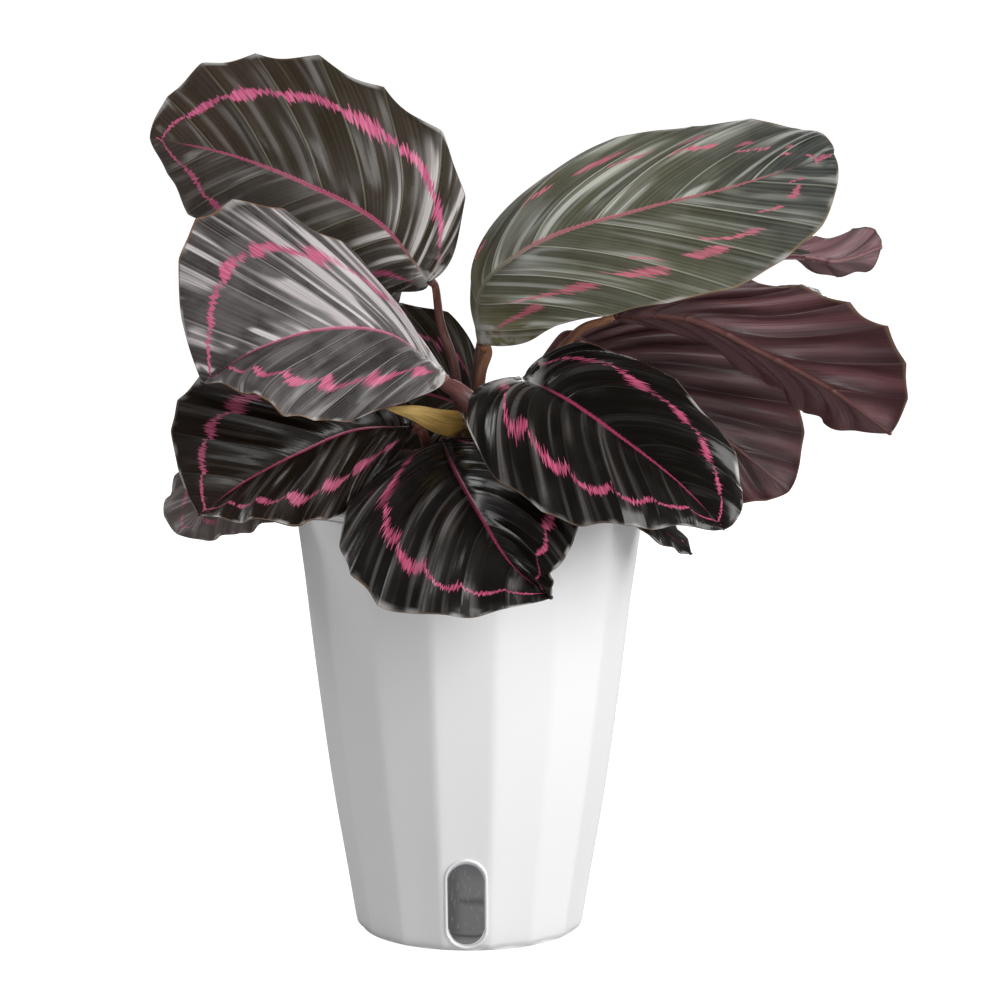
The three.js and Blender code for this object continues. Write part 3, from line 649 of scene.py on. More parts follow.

# The leaves: thin leathery blades, pleated along their side veins, glossy and dark above with a
# pink midrib and a broken pink ring, dull purple below. Each grows out of the end of its stalk.

# The shape of each, in millimetres. The solids have the same midribs, margins, arches and stalks,
# with plainer pleats, waves and notches. midrib: points from the stalk to the tip. left and right:
# from the midrib to the margin at 15, 50 and 85 % of the length. cup: how far each half arches.
# wave and pleat: the height of the margin's waves and of the pleats. scallop: how deep the margin
# is notched between veins. root: where the stalk stands. stalk: its radius at the foot, half way
# and at the blade. way: points that it passes. veins: how many main side veins a half has. fan: how
# closely the veins crowd at the stalk. sweep: how far they run ahead before they turn out.
# The look. finish: one of FINISHES. ring: the pink ring's half width, how much of it is missing and
# how its arcs slant. pink_from: where the midrib turns pink. rib_width: how wide it shows. sheen:
# for each half, the painted highlight near the stalk, near the tip and all over. crinkles: how
# crinkled the base is and how much painted highlight its creases get. lower: shown from below, so
# its underside's colour and the painted sheen on its two halves.
LEAVES = {
    "upper_left": {
        "midrib": [(-17.5, 12, 280), (-39, 5, 306), (-70, -2, 323), (-102, 0, 335), (-136, 6, 342)],
        "left": [(-5, 12, -22), (-12, 22, -50), (0, 12, -34)],
        "right": [(27, 14, 12), (37, 24, 36), (10, 18, 36)],
        "cup": (4, 6), "wave": 2.2, "scallop": 0.06, "pleat": 1.1, "root": (-5, 9),
        "stalk": (3.2, 2.2, 1.5),
        "way": [(-4.5, 9, 215), (-6.7, 9.5, 243), (-12.5, 9.5, 262)],
        "finish": "dark", "ring": (0.06, 0.1, -0.03),
        "sheen": ((1.2, 0.35, 0.06), (1.7, 0.28, 0.01)),
        "crinkles": 0.5, "fan": 1.75, "sweep": 0.55,
    },
    "middle_left": {
        "midrib": [(-11, -22, 245), (-34, -34, 262), (-60, -48, 265), (-86, -60, 258), (-109, -68, 245)],
        "left": [(2, -22, -20), (-1, -22, -36), (8, -29, -10)],
        "right": [(-4, 9, 12), (-13, 20, 46), (-22, 17, 48)],
        "cup": (6, 4), "wave": 1.8, "scallop": 0.035, "pleat": 1.3, "root": (3, -9),
        "stalk": (3.2, 5.2, 2.2),
        "way": [(8.5, -13, 198), (8, -19, 216), (3, -22, 228), (-4, -23, 236)],
        "finish": "grey", "ring": (0.058, 0.1, -0.03),
        "sheen": ((0.4, 0.25, 0.11), (2.1, 2.5, 0.12)), "crinkles": 1.3, "fan": 2.2, "sweep": 0.5,
    },
    "lower_left": {
        "midrib": [(-24, -26, 222), (-48, -40, 222), (-70, -52, 214), (-92, -60, 203), (-111, -66, 190)],
        "left": [(2, -8, -18), (14, -17, -25), (14, -21, -8)],
        "right": [(2, 12, 17), (-19, 10, 36), (-23, 13, 30)],
        "cup": (3, 3), "wave": 1.6, "scallop": 0.03, "pleat": 1.1, "root": (-14, -4),
        "stalk": (3.2, 2.4, 1.7),
        "way": [(-15, -6, 195), (-18, -14, 212), (-20, -22, 219)],
        "finish": "umber", "ring": (0.06, 0.16, -0.05),
        "sheen": ((0.4, 0.45, 0), (0.3, 0.35, 0)),
    },
    "low_left_behind": {
        "midrib": [(-29, -5, 209), (-60, -8, 209), (-85, -10, 201), (-106, -11, 191), (-125, -12, 174)],
        "left": [(10, -10, -10), (8, -24, -17), (11, -14, -10)],
        "right": [(0, 15, 24), (-12, 16, 15), (-16, 18, 6)],
        "cup": (3, 3), "wave": 1.6, "scallop": 0.035, "pleat": 1.3, "root": (-14, 6),
        "stalk": (3.2, 2.2, 1.6),
        "finish": "faded", "ring": (0.06, 0.25, -0.05),
        "sheen": ((0.6, 0.5, 0.2), (0.6, 0.5, 0.2)),
    },
    "front": {
        "midrib": [(-11, -28, 216), (-5, -49, 205), (5, -75, 191), (18, -97, 174), (34, -112, 163)],
        "left": [(25, -10, 8), (43, -4, 10), (12, -5, 6)],
        "right": [(-37, -18, -11), (-53, -24, -19), (-35, -8, -14)],
        "cup": (5, 5), "wave": 1.8, "scallop": 0.03, "pleat": 1.1, "root": (-6, -16),
        "stalk": (3.2, 2.4, 1.8),
        "way": [(-6, -17, 195), (-8, -19, 208), (-10.5, -24, 215)],
        "finish": "black", "ring": (0.044, 0.08, -0.03),
        "sheen": ((0.2, 0.28, 0), (0.8, 0.7, 0.035)),
    },
    "right": {
        "midrib": [(23, -34, 243), (42, -48, 235), (64, -64, 221), (85, -80, 206), (104, -94, 188)],
        "left": [(6, 24, 16), (19, 26, 23), (19, 16, 8)],
        "right": [(-35, -22, -7), (-37, -32, -24), (-21, -14, -9)],
        "cup": (5, 6), "wave": 1.8, "scallop": 0.03, "pleat": 1.0, "root": (18, -20),
        "stalk": (3.2, 2.4, 1.8),
        "way": [(18, -20, 205), (18, -22, 226), (21, -27, 236)],
        "finish": "black", "ring": (0.04, 0.08, -0.05),
        "sheen": ((0.25, 0.1, 0), (0.85, 0.5, 0.02)), "crinkles": 0.8,
    },
    "upper_right": {
        "midrib": [
            (4, -5, 255), (6, -8, 280), (32, -16, 300), (72, -24, 313), (113, -34, 324), (151, -42, 337),
        ],
        "left": [(1, 21, 14), (6, 38, 31), (8, 30, 21)],
        "right": [(28, -24, -12), (26, -32, -32), (16, -22, -25)],
        "cup": (5, 5), "wave": 1.4, "scallop": 0.02, "pleat": 1.2, "root": (4, 0),
        "stalk": (3.4, 2.6, 2.2),
        "way": [(3.5, -1, 200), (3, -2, 220), (4.5, -3, 241)],
        "finish": "green", "ring": (0.055, 0.47, 0.17), "pink_from": 0.36,
        "sheen": ((1.6, 1.3, 0.1), (1.45, 0.6, 0.07)),
        "crinkles": 0.8, "fan": 1.45, "rib_width": 1.15,
    },
    "right_underside": {
        "midrib": [(62, 6, 267), (94, 6, 264), (125, 2, 250), (154, -4, 235), (179, -12, 217)],
        "left": [(-4, 20, -7), (2, 34, -15), (-15, 22, -8)],
        "right": [(9, -14, 11), (13, 14, 28), (20, 14, 24)],
        "cup": (3, 4), "wave": 1.7, "scallop": 0.1, "pleat": 1.6, "root": (13, 4),
        "stalk": (3.2, 2.2, 1.7),
        "way": [(14, 4, 195), (28, 4, 234), (45, 4, 258)],
        "finish": "dark", "ring": (0.05, 0.3, -0.03), "lower": ("maroon", 1.35, 0.12),
    },
    "right_underside_low": {
        "midrib": [(45, 16, 255), (69, 30, 242), (93, 42, 223), (118, 48, 203), (141, 48, 184)],
        "left": [(-15, -2, -20), (-20, -4, -31), (-14, -6, -16)],
        "right": [(14, 20, 14), (30, 20, 25), (20, 10, 19)],
        "cup": (3, 3), "wave": 1.8, "scallop": 0.04, "pleat": 1.6, "root": (14, 14),
        "stalk": (3.2, 2.2, 1.7),
        "way": [(15, 15, 195), (25, 12, 232), (38, 12, 254)],
        "finish": "dark", "ring": (0.05, 0.3, -0.03), "lower": ("maroon", 0.05, 0),
    },
    "far_right_behind": {
        "midrib": [(101, 44, 281), (122, 52, 286), (143, 58, 287), (163, 62, 285), (182, 64, 291)],
        "left": [(7, 16, -9), (1, 24, -3), (0, 14, -10)],
        "right": [(1, 16, 8), (6, 24, 8), (5, 13, 12)],
        "cup": (3, 3), "wave": 1.6, "scallop": 0.14, "pleat": 1.3, "root": (5, 10),
        "stalk": (3, 1.9, 1.4), "veins": 5,
        "way": [(4, 11, 200), (4, 13, 250), (20, 24, 281), (60, 38, 287)],
        "finish": "dark", "ring": (0.06, 0.3, -0.05), "lower": ("mauve", 0.4, 0.3),
    },
    "low_right_tip": {
        "midrib": [(40, -14, 206), (54, -22, 201), (68, -30, 192), (81, -38, 180), (93, -42, 170)],
        "left": [(7, 18, 6), (5, 22, 4), (2, 9, 4)],
        "right": [(-10, -10, -3), (-8, -15, -1), (-5, -8, -1)],
        "cup": (2, 2), "wave": 0.6, "scallop": 0.03, "pleat": 0.5, "root": (26, -12),
        "stalk": (2.8, 1.9, 1.4), "veins": 5,
        "finish": "black", "ring": (0.05, 0.9, -0.05),
        "sheen": ((0.3, 0.3, 0.06), (0.3, 0.3, 0.06)),
    },
    "centre_behind": {
        "midrib": [(4, 20, 221), (-12, 26, 228), (-29, 31, 231), (-46, 34, 231), (-62, 35, 228)],
        "left": [(-2, -5, -12), (0, -7, -27), (-2, -5, -18)],
        "right": [(6, 8, 28), (3, 8, 37), (-3, 6, 26)],
        "cup": (3, 3), "wave": 1.6, "scallop": 0.05, "pleat": 1.0, "root": (-4, 19),
        "stalk": (3, 2.1, 1.6), "veins": 5,
        "way": [(-2, 20, 200), (2, 20, 214)],
        "finish": "dark", "ring": (0.05, 0.3, -0.05),
        "sheen": ((0.25, 0.15, 0), (0.35, 0.2, 0)),
    },
    "right_strip_behind": {
        "midrib": [(91, 77, 256), (110, 84, 261), (128, 90, 264), (145, 95, 265), (161, 100, 265)],
        "left": [(1, 20, 1), (6, 24, 4), (5, 16, 3)],
        "right": [(1, -17, -8), (3, -23, -8), (0, -17, -6)],
        "cup": (2, 2), "wave": 1.2, "scallop": 0.04, "pleat": 1.0, "root": (14, 24),
        "stalk": (3, 1.8, 1.2), "veins": 5,
        "way": [(15, 27, 190), (40, 58, 218), (72, 74, 240)],
        "finish": "green", "ring": (0.06, 0.3, -0.05),
    },
    "back_left": {
        "midrib": [(-42, 50, 258), (-56, 70, 281), (-72, 91, 294), (-87, 111, 298), (-102, 130, 292)],
        "left": [(-20, -14, -6), (-36, -26, -8), (-26, -18, -7)],
        "right": [(20, 14, -1), (36, 26, -3), (26, 18, -3)],
        "cup": (5, 5), "wave": 1.8, "scallop": 0.05, "pleat": 1.2, "root": (-14, 15),
        "stalk": (3.2, 2.2, 1.7),
        "way": [(-15, 23, 186), (-21, 41, 206), (-30, 48, 236)],
        "finish": "dark", "ring": (0.05, 0.3, -0.03),
    },
    "back_low": {
        "midrib": [(10, 45, 212), (12, 70, 216), (15, 95, 208), (18, 119, 192), (22, 140, 170)],
        "left": [(-27, -2, -3), (-44, 0, -6), (-30, 4, -6)],
        "right": [(27, -2, -3), (44, -2, -6), (30, 4, -6)],
        "cup": (5, 5), "wave": 1.8, "scallop": 0.04, "pleat": 1.2, "root": (5, 21),
        "stalk": (3.2, 2.2, 1.7),
        "finish": "dark", "ring": (0.05, 0.3, -0.03),
    },
}
USUAL = {
    "veins": 8, "fan": 2.1, "sweep": 0.34, "pink_from": 0.17, "rib_width": 0.85, "crinkles": 0.3,
    "sheen": ((0.5, 0.35, 0), (0.5, 0.35, 0)),
}
LEAVES = {name: USUAL | leaf for name, leaf in LEAVES.items()}

# What a blade shows above: its own colour and how that changes towards the stalk and the tip, the
# painted highlight between the veins, the veins, the ring, the start of the midrib, the margin, how
# rough it is and how strongly it and its wax coat shine.
FINISHES = {
    "black": {
        "Leaf": (0.004, 0.003, 0.002), "Near_stalk": (0.005, 0.004, 0.003),
        "Near_tip": (0.005, 0.004, 0.003), "Highlight": (0.17, 0.155, 0.147),
        "Veins": (0.026, 0.023, 0.018), "Ring": (0.42, 0.045, 0.13), "Rib_start": (0.1, 0.03, 0.03),
        "Margin": (0.11, 0.08, 0.06), "Rough": 0.21, "Gloss": (0.3, 0.12),
    },
    "umber": {
        "Leaf": (0.009, 0.0055, 0.0032), "Near_stalk": (0.006, 0.004, 0.0027),
        "Near_tip": (0.017, 0.0105, 0.008), "Highlight": (0.17, 0.145, 0.132),
        "Veins": (0.05, 0.042, 0.035), "Ring": (0.33, 0.045, 0.11), "Rib_start": (0.1, 0.03, 0.03),
        "Margin": (0.16, 0.11, 0.08), "Rough": 0.25, "Gloss": (0.26, 0.1),
    },
    "dark": {
        "Leaf": (0.027, 0.0185, 0.0105), "Near_stalk": (0.024, 0.017, 0.011),
        "Near_tip": (0.042, 0.027, 0.019), "Highlight": (0.62, 0.58, 0.56),
        "Veins": (0.17, 0.16, 0.12), "Ring": (0.47, 0.075, 0.18), "Rib_start": (0.22, 0.11, 0.08),
        "Margin": (0.12, 0.085, 0.05), "Rough": 0.29, "Gloss": (0.22, 0.1),
    },
    "grey": {
        "Leaf": (0.012, 0.0095, 0.008), "Near_stalk": (0.025, 0.02, 0.018),
        "Near_tip": (0.014, 0.011, 0.0095), "Highlight": (0.62, 0.57, 0.57),
        "Veins": (0.3, 0.28, 0.27), "Ring": (0.45, 0.08, 0.17), "Rib_start": (0.34, 0.22, 0.2),
        "Margin": (0.2, 0.11, 0.07), "Rough": 0.3, "Gloss": (0.22, 0.1),
    },
    "faded": {
        "Leaf": (0.06, 0.044, 0.04), "Near_stalk": (0.05, 0.036, 0.032),
        "Near_tip": (0.08, 0.058, 0.054), "Highlight": (0.2, 0.165, 0.16),
        "Veins": (0.17, 0.125, 0.115), "Ring": (0.33, 0.08, 0.14), "Rib_start": (0.2, 0.1, 0.08),
        "Margin": (0.16, 0.11, 0.09), "Rough": 0.42, "Gloss": (0.3, 0.1),
    },
    "green": {
        "Leaf": (0.06, 0.061, 0.03), "Near_stalk": (0.19, 0.175, 0.065),
        "Near_tip": (0.008, 0.012, 0.011), "Highlight": (0.58, 0.59, 0.53),
        "Veins": (0.5, 0.5, 0.43), "Ring": (0.55, 0.14, 0.19), "Rib_start": (0.28, 0.27, 0.2),
        "Margin": (0.22, 0.17, 0.1), "Rough": 0.35, "Gloss": (0.28, 0.14),
    },
}
MARGIN_TAN = (0.12, 0.07, 0.045, 1)
PALE_PINK = (0.75, 0.32, 0.42, 1)
PAINTED_HIGHLIGHT = (0.55, 0.54, 0.52, 1)
FINE_LINES = 9
LINE_RELIEF = 0.02 * MM
STREAK_RELIEF = 0.025 * MM
CELL_RELIEF = 0.01 * MM
VEIN_RELIEF = 0.1 * MM
CREASE_RELIEF = 1.3 * MM
# An underside's flesh, the painted sheen on it and its veins.
UNDERSIDES = {
    "maroon": ((0.029, 0.009, 0.011, 1), (0.125, 0.051, 0.056, 1), (0.1, 0.032, 0.028, 1)),
    "mauve": ((0.15, 0.075, 0.085, 1), (0.36, 0.23, 0.24, 1), (0.24, 0.12, 0.125, 1)),
}


def noise_line(w, scale, detail=0.0):
    """Noise along one number, from about 0.2 to 0.8."""
    return output_of(
        w.tree, "TexNoise", 0, {"noise_dimensions": "1D"}, W=w, Scale=scale, Detail=detail,
    )


def along_veins(own, outwards, fine_scale, long_scale, shift):
    """Noise stretched along the side veins."""
    return output_of(
        own.tree, "TexNoise", 0, {"noise_dimensions": "2D"}, Scale=1, Detail=1,
        Vector=vector_of(own * fine_scale + shift, outwards * long_scale),
    )


def uv_place(tree, uv_map):
    return parts_of(output_of(tree, "UVMap", 0, {"uv_map": uv_map}))


def leaf_places(tree):
    """Where a point lies on its blade, from the two UV maps: the vein's number as a share, how far
    out along the vein, the share of the length, of the half width, and which half."""
    vein, outwards, _ = uv_place(tree, "veins")
    along, across, _ = uv_place(tree, "plan")
    signed = outwards * 2 - 1
    return vein, abs(signed), along, abs(across * 2 - 1), maths("GREATER_THAN", signed, 0)


def vein_distance(vein, count):
    """How far a point is from the nearest side vein: 0 on it, 0.5 half way to the next."""
    return abs(maths("FRACT", vein * count + 0.5) - 0.5)


def pick_half(half, left, right):
    """The left half's three numbers or the right half's."""
    node = add_node(half.tree, "Mix", {"data_type": "VECTOR"}, Factor=half)
    connect(node.inputs[4], left)
    connect(node.inputs[5], right)
    return parts_of(Output(node.outputs[1]))


upper_face, given, result = new_group(
    "leaf_upper_face",
    [
        ("Leaf", "Color"), ("Near stalk", "Color"), ("Near tip", "Color"), ("Highlight", "Color"),
        ("Veins", "Color"), ("Ring", "Color"), ("Rib start", "Color"), ("Margin", "Color"),
        ("Rough", "Float"), ("Main veins", "Float"), ("Left sheen", "Vector"), ("Right sheen", "Vector"),
        ("Ring width", "Float"), ("Ring missing", "Float"), ("Ring slant", "Float"),
        ("Pink from", "Float"), ("Rib width", "Float"), ("Crinkles", "Float"), ("Seed", "Float"),
    ],
)
vein, outwards, along, across, half = leaf_places(upper_face)
own = given["Seed"] * 11.3 + (half * 3.7 + vein)
streaks = noise_line(own, 120, 1)
stretches = noise_line(own, 13)
steps = noise_line(own + 40, 9)
gaps = noise_line(own + 90, 15)
from_vein = vein_distance(vein, given["Main veins"])
in_pleat = maths("FRACT", vein * given["Main veins"])
fine = vein_distance(vein, given["Main veins"] * FINE_LINES)
place = object_place(upper_face)
clouds = mottle(place, 55, 3)
cells = output_of(upper_face, "TexVoronoi", "Distance", Vector=place, Scale=1500)
near_stalk, near_tip, all_over = pick_half(half, given["Left sheen"], given["Right sheen"])

# Its own colour with painted highlights, an even wash and bands beside each vein, a painted shadow
# strip before each vein, the fine lines and the veins.
colour = mix_colours(ramp(along, 0, 0.3), given["Near stalk"], given["Leaf"])
colour = mix_colours(ramp(along, 0.62, 0.95), colour, given["Near tip"])
# Painted sheen: an even lightening towards the highlight colour.
even_sheen = all_over * ramp(clouds, 0.34, 0.66, 0.4, 1.15)
colour = mix_colours(even_sheen, colour, given["Highlight"])
# Painted highlights: light bands beside each vein, broken up by noise along the veins.
beside = ramp(in_pleat, 0.015, 0.06) * ramp(in_pleat, 0.16, 0.44, 1, 0)
second = ramp(abs(steps * 0.3 + (in_pleat - 0.8)), 0.03, 0.12, 0.6, 0)
patchy = ramp(along_veins(own, outwards, 9, 1.3, 0), 0.4, 0.58, 0.03, 1)
sheen_grain = ramp(along_veins(own, outwards, 46, 1.1, 31), 0.38, 0.58, 0.12, 1)
strength = ramp(along, 0.1, 0.46) * (near_tip - near_stalk) + near_stalk
sheen_stripes = maths("MAXIMUM", beside, second) * (patchy * sheen_grain) * strength
sheen_stripes = maths("MINIMUM", sheen_stripes, 1.0) * ramp(noise_line(own, 330, 2), 0.35, 0.65, 0.62, 1)
colour = mix_colours(sheen_stripes, colour, given["Highlight"])
# Painted shade: a darker strip just before each vein.
shadowed = ramp(in_pleat, 0.9, 0.985) * ramp(in_pleat, 0.985, 0.999, 1, 0)
colour = mix_colours(shadowed * 0.5, colour, given["Leaf"])
line_share = ramp(fine, 0, 0.45, 0.13, 0) * ramp(streaks, 0.3, 0.7, 0.2, 1)
colour = mix_colours(line_share, colour, given["Veins"])
vein_share = ramp(from_vein, 0.008, 0.03, 0.75, 0) * ramp(stretches, 0.3, 0.6, 0.4, 1)
vein_share = vein_share * ramp(outwards, 0.55, 1, 1, 0.45)
colour = mix_colours(vein_share, colour, given["Veins"])

# The ring: about two thirds of the way out, closing on the midrib towards the tip. In each pleat it
# is one frayed arc that bulges towards the margin.
RING_PLACE = 0.64
RING_CLOSES_FROM = 0.58
RING_CLOSED_AT = 0.96
RING_BULGE = 0.055
RING_STEPS = 0.07
RING_FRAY = 0.17
tipward = ramp(along, RING_CLOSES_FROM, RING_CLOSED_AT, kind="LINEAR")
centre = maths("SQRT", 1.0 - tipward * tipward)
centre = centre * ramp(along, 0, 0.35, 0.8 * RING_PLACE, RING_PLACE)
centre = centre + (maths("SINE", in_pleat * math.pi) * RING_BULGE - 0.035)
centre = centre + (steps - 0.5) * RING_STEPS
centre = centre + (in_pleat - 0.5) * given["Ring slant"]
frayed = across + (noise_line(own, 150, 2) - 0.5) * RING_FRAY
fullest = ramp(in_pleat, 0, 0.55, 0.35, 1) * ramp(in_pleat, 0.82, 1, 1, 0.5)
width = given["Ring width"] * ramp(stretches, 0.25, 0.7, 0.6, 1.2) * fullest
ring = ramp(abs(frayed - centre) / width, 0.7, 1.05, 1, 0)
ring = ring * ramp(gaps, given["Ring missing"] - 0.04, given["Ring missing"])
ring = ring * ramp(along, 0.03, 0.12)
ring_colour = mix_colours(ramp(streaks, 0.35, 0.7, 0, 0.35), given["Ring"], PALE_PINK)
colour = mix_colours(ring, colour, ring_colour)

# The midrib, pale near the stalk and pink from there almost to the tip, and the margin.
ragged = ramp(noise_line(own, 210, 1), 0.35, 0.65, 0.7, 1.3)
rib_width = ramp(along, 0, 0.95, 0.034, 0.012) * given["Rib width"] * ragged
rib = ramp(across / rib_width, 0.6, 1, 1, 0) * ramp(along, 0.84, 0.93, 1, 0.08)
pink_share = ramp(along, given["Pink from"] - 0.1, given["Pink from"] + 0.06)
pink = mix_colours(0.22, given["Ring"], given["Rib start"])
rib_colour = mix_colours(pink_share, given["Rib start"], pink)
rib_core = ramp(across / rib_width, 0.1, 0.35, 0.35, 0)
rib_colour = mix_colours(rib_core, rib_colour, given["Leaf"])
colour = mix_colours(rib, colour, rib_colour)
colour = mix_colours(ramp(outwards, 0.984, 0.998), colour, given["Margin"])

# Painted highlights where the crinkled base and stretches of the rim would catch the light.
folds = mottle(place, 120, 2)
crease_highlight_to = given["Crinkles"] * 0.06 + 0.07
crease_highlight = ramp(along, 0.015, crease_highlight_to, 0.85, 0) * ramp(folds, 0.44, 0.54)
crease_highlight = crease_highlight * ramp(given["Crinkles"], 0.3, 0.7)
colour = mix_colours(crease_highlight, colour, PAINTED_HIGHLIGHT)
# Painted glints on stretches of the rim.
rim = ramp(outwards, 0.962, 0.99) * ramp(stretches, 0.46, 0.7, 0, 0.55)
connect(result["Color"], mix_colours(rim, colour, PAINTED_HIGHLIGHT))
uneven = given["Rough"] + ramp(clouds, 0.3, 0.7, -0.05, 0.07)
connect(result["Roughness"], uneven + sheen_stripes * 0.1 + ring * 0.08)
relief = ramp(fine, 0, 0.5, 1, 0) * LINE_RELIEF + streaks * STREAK_RELIEF + cells * CELL_RELIEF
relief = relief + ramp(from_vein, 0, 0.04, 1, 0) * VEIN_RELIEF
creased = maths("MAXIMUM", ramp(along, 0.03, 0.24, 1, 0.1), all_over)
connect(result["Height"], relief + folds * given["Crinkles"] * creased * CREASE_RELIEF)

# The underside: dull flesh with painted sheen, in bands between the raised veins and evenly over
# each half, and a broad raised midrib.
lower_face, given, result = new_group(
    "leaf_lower_face",
    [
        ("Flesh", "Color"), ("Bloom", "Color"), ("Veins", "Color"), ("Left bloom", "Float"),
        ("Right bloom", "Float"), ("Main veins", "Float"), ("Seed", "Float"),
    ],
)
vein, outwards, along, across, half = leaf_places(lower_face)
own = given["Seed"] * 7.9 + (half * 3.7 + vein)
streaks = noise_line(own, 90, 1)
from_vein = vein_distance(vein, given["Main veins"])
fine = vein_distance(vein, given["Main veins"] * FINE_LINES)
clouds = mottle(object_place(lower_face), 40, 4)
# Painted sheen: an even share on each half and bands between the veins.
even = half * (given["Right bloom"] - given["Left bloom"]) + given["Left bloom"]
patchy = ramp(along_veins(own, outwards, 13, 1.5, 0), 0.3, 0.66, 0.25, 1)
bands = ramp(from_vein, 0.05, 0.42) * patchy
gleam = maths("MAXIMUM", bands, even) * ramp(streaks, 0.3, 0.7, 0.6, 0.95)
gleam = gleam * ramp(clouds, 0.3, 0.7, 0.7, 1)
colour = mix_colours(gleam, given["Flesh"], given["Bloom"])
colour = mix_colours(ramp(fine, 0, 0.4, 0.15, 0), colour, given["Veins"])
colour = mix_colours(ramp(from_vein, 0.01, 0.04, 0.25, 0), colour, given["Veins"])
rib = ramp(across / ramp(along, 0, 1, 0.05, 0.014), 0.7, 1, 0.85, 0)
colour = mix_colours(rib, colour, given["Veins"])
connect(result["Color"], mix_colours(ramp(outwards, 0.975, 0.994), colour, MARGIN_TAN))
connect(result["Roughness"], ramp(clouds, 0.3, 0.7, 0.4, 0.52))
connect(result["Height"], ramp(fine, 0, 0.5, 1, 0) * (0.03 * MM) + streaks * (0.04 * MM))


def blade_materials(name, leaf, seed):
    """The upper face's, the underside's and the margin's material of one blade."""
    finish = FINISHES[leaf["finish"]]
    specular, coat = finish["Gloss"]
    upper, shader = new_material(
        name + "_upper", IOR=1.45, Specular_IOR_Level=specular, Coat_Weight=coat,
        Coat_Roughness=0.22,
    )
    colours = {key: (*value, 1) for key, value in finish.items() if key not in ("Rough", "Gloss")}
    ring_width, ring_missing, ring_slant = leaf["ring"]
    left_sheen, right_sheen = leaf["sheen"]
    finish_surface(
        shader, upper_face, Main_veins=leaf["veins"], Ring_width=ring_width, Ring_missing=ring_missing,
        Ring_slant=ring_slant, Pink_from=leaf["pink_from"], Rib_width=leaf["rib_width"],
        Left_sheen=left_sheen, Right_sheen=right_sheen, Crinkles=leaf["crinkles"],
        Rough=finish["Rough"], Seed=seed, **colours,
    )
    lower, shader = new_material(name + "_lower", IOR=1.42)
    below, left_gleam, right_gleam = leaf.get("lower", ("maroon", 0.1, 0.1))
    flesh, gleam, raised = UNDERSIDES[below]
    finish_surface(
        shader, lower_face, Flesh=flesh, Bloom=gleam, Veins=raised, Left_bloom=left_gleam,
        Right_bloom=right_gleam, Main_veins=leaf["veins"], Seed=seed,
    )
    margin, shader = new_material(name + "_margin", Roughness=0.5)
    patches = mottle(object_place(shader.id_data), 140, 2)
    tint = mix_colours(ramp(patches, 0.35, 0.65), colours["Margin"], colours["Leaf"])
    connect(shader.inputs["Base Color"], tint)
    return upper, lower, margin


WIDEST_POWER = 0.85
FULLNESS = 0.62
STATIONS = (0.15, 0.5, 0.85)
VEIN_END_POWER = 1.6
STEEPNESS = 0.56
BLADE_THICKNESS = 0.7
RIB_THICKNESS = 1.5
VEIN_THICKNESS = 0.3
MOST_THICKNESS = BLADE_THICKNESS + RIB_THICKNESS + VEIN_THICKNESS
RIB_WIDTH_SHARE = 0.05
VEIN_WIDTH_SHARE = 0.12
BLADE_ROWS = 240
BLADE_COLUMNS = 40
ROW_CROWDING = 0.8
COLUMN_CROWDING = 1.25


def smoothstep(x, low, high):
    """The same smoothed way from low to high as a ramp's, for plain numbers."""
    t = np.clip((x - low) / (high - low), 0, 1)
    return t * t * (3 - 2 * t)


def unit(vectors):
    return vectors / np.linalg.norm(vectors, axis=-1, keepdims=True)


def scatter(a, b):
    """Repeatable scatter between 0 and 1 from two whole numbers."""
    return math.sin(a * 12.9898 + b * 78.233) * 43758.5453 % 1


def outline_share(u):
    """A blade's half width at a share of its length, as a share of its widest."""
    return np.maximum(np.sin(np.pi * np.clip(u, 0, 1) ** WIDEST_POWER), 0) ** FULLNESS


def reach_at(spans, u):
    """From the midrib to the margin at shares u, through the three vectors that the leaf gives."""
    out = 0
    for i, here in enumerate(STATIONS):
        weight = 1 / outline_share(here)
        for other in STATIONS[:i] + STATIONS[i + 1:]:
            weight = weight * (u - other) / (here - other)
        out = out + weight[..., None] * np.array(spans[i], float)
    return out


def rib_direction(points, u):
    """Which way the midrib runs at shares u."""
    step = 1e-4
    ahead = smooth_curve(points, np.minimum(u + step, 1))
    return unit(ahead - smooth_curve(points, np.maximum(u - step, 0)))


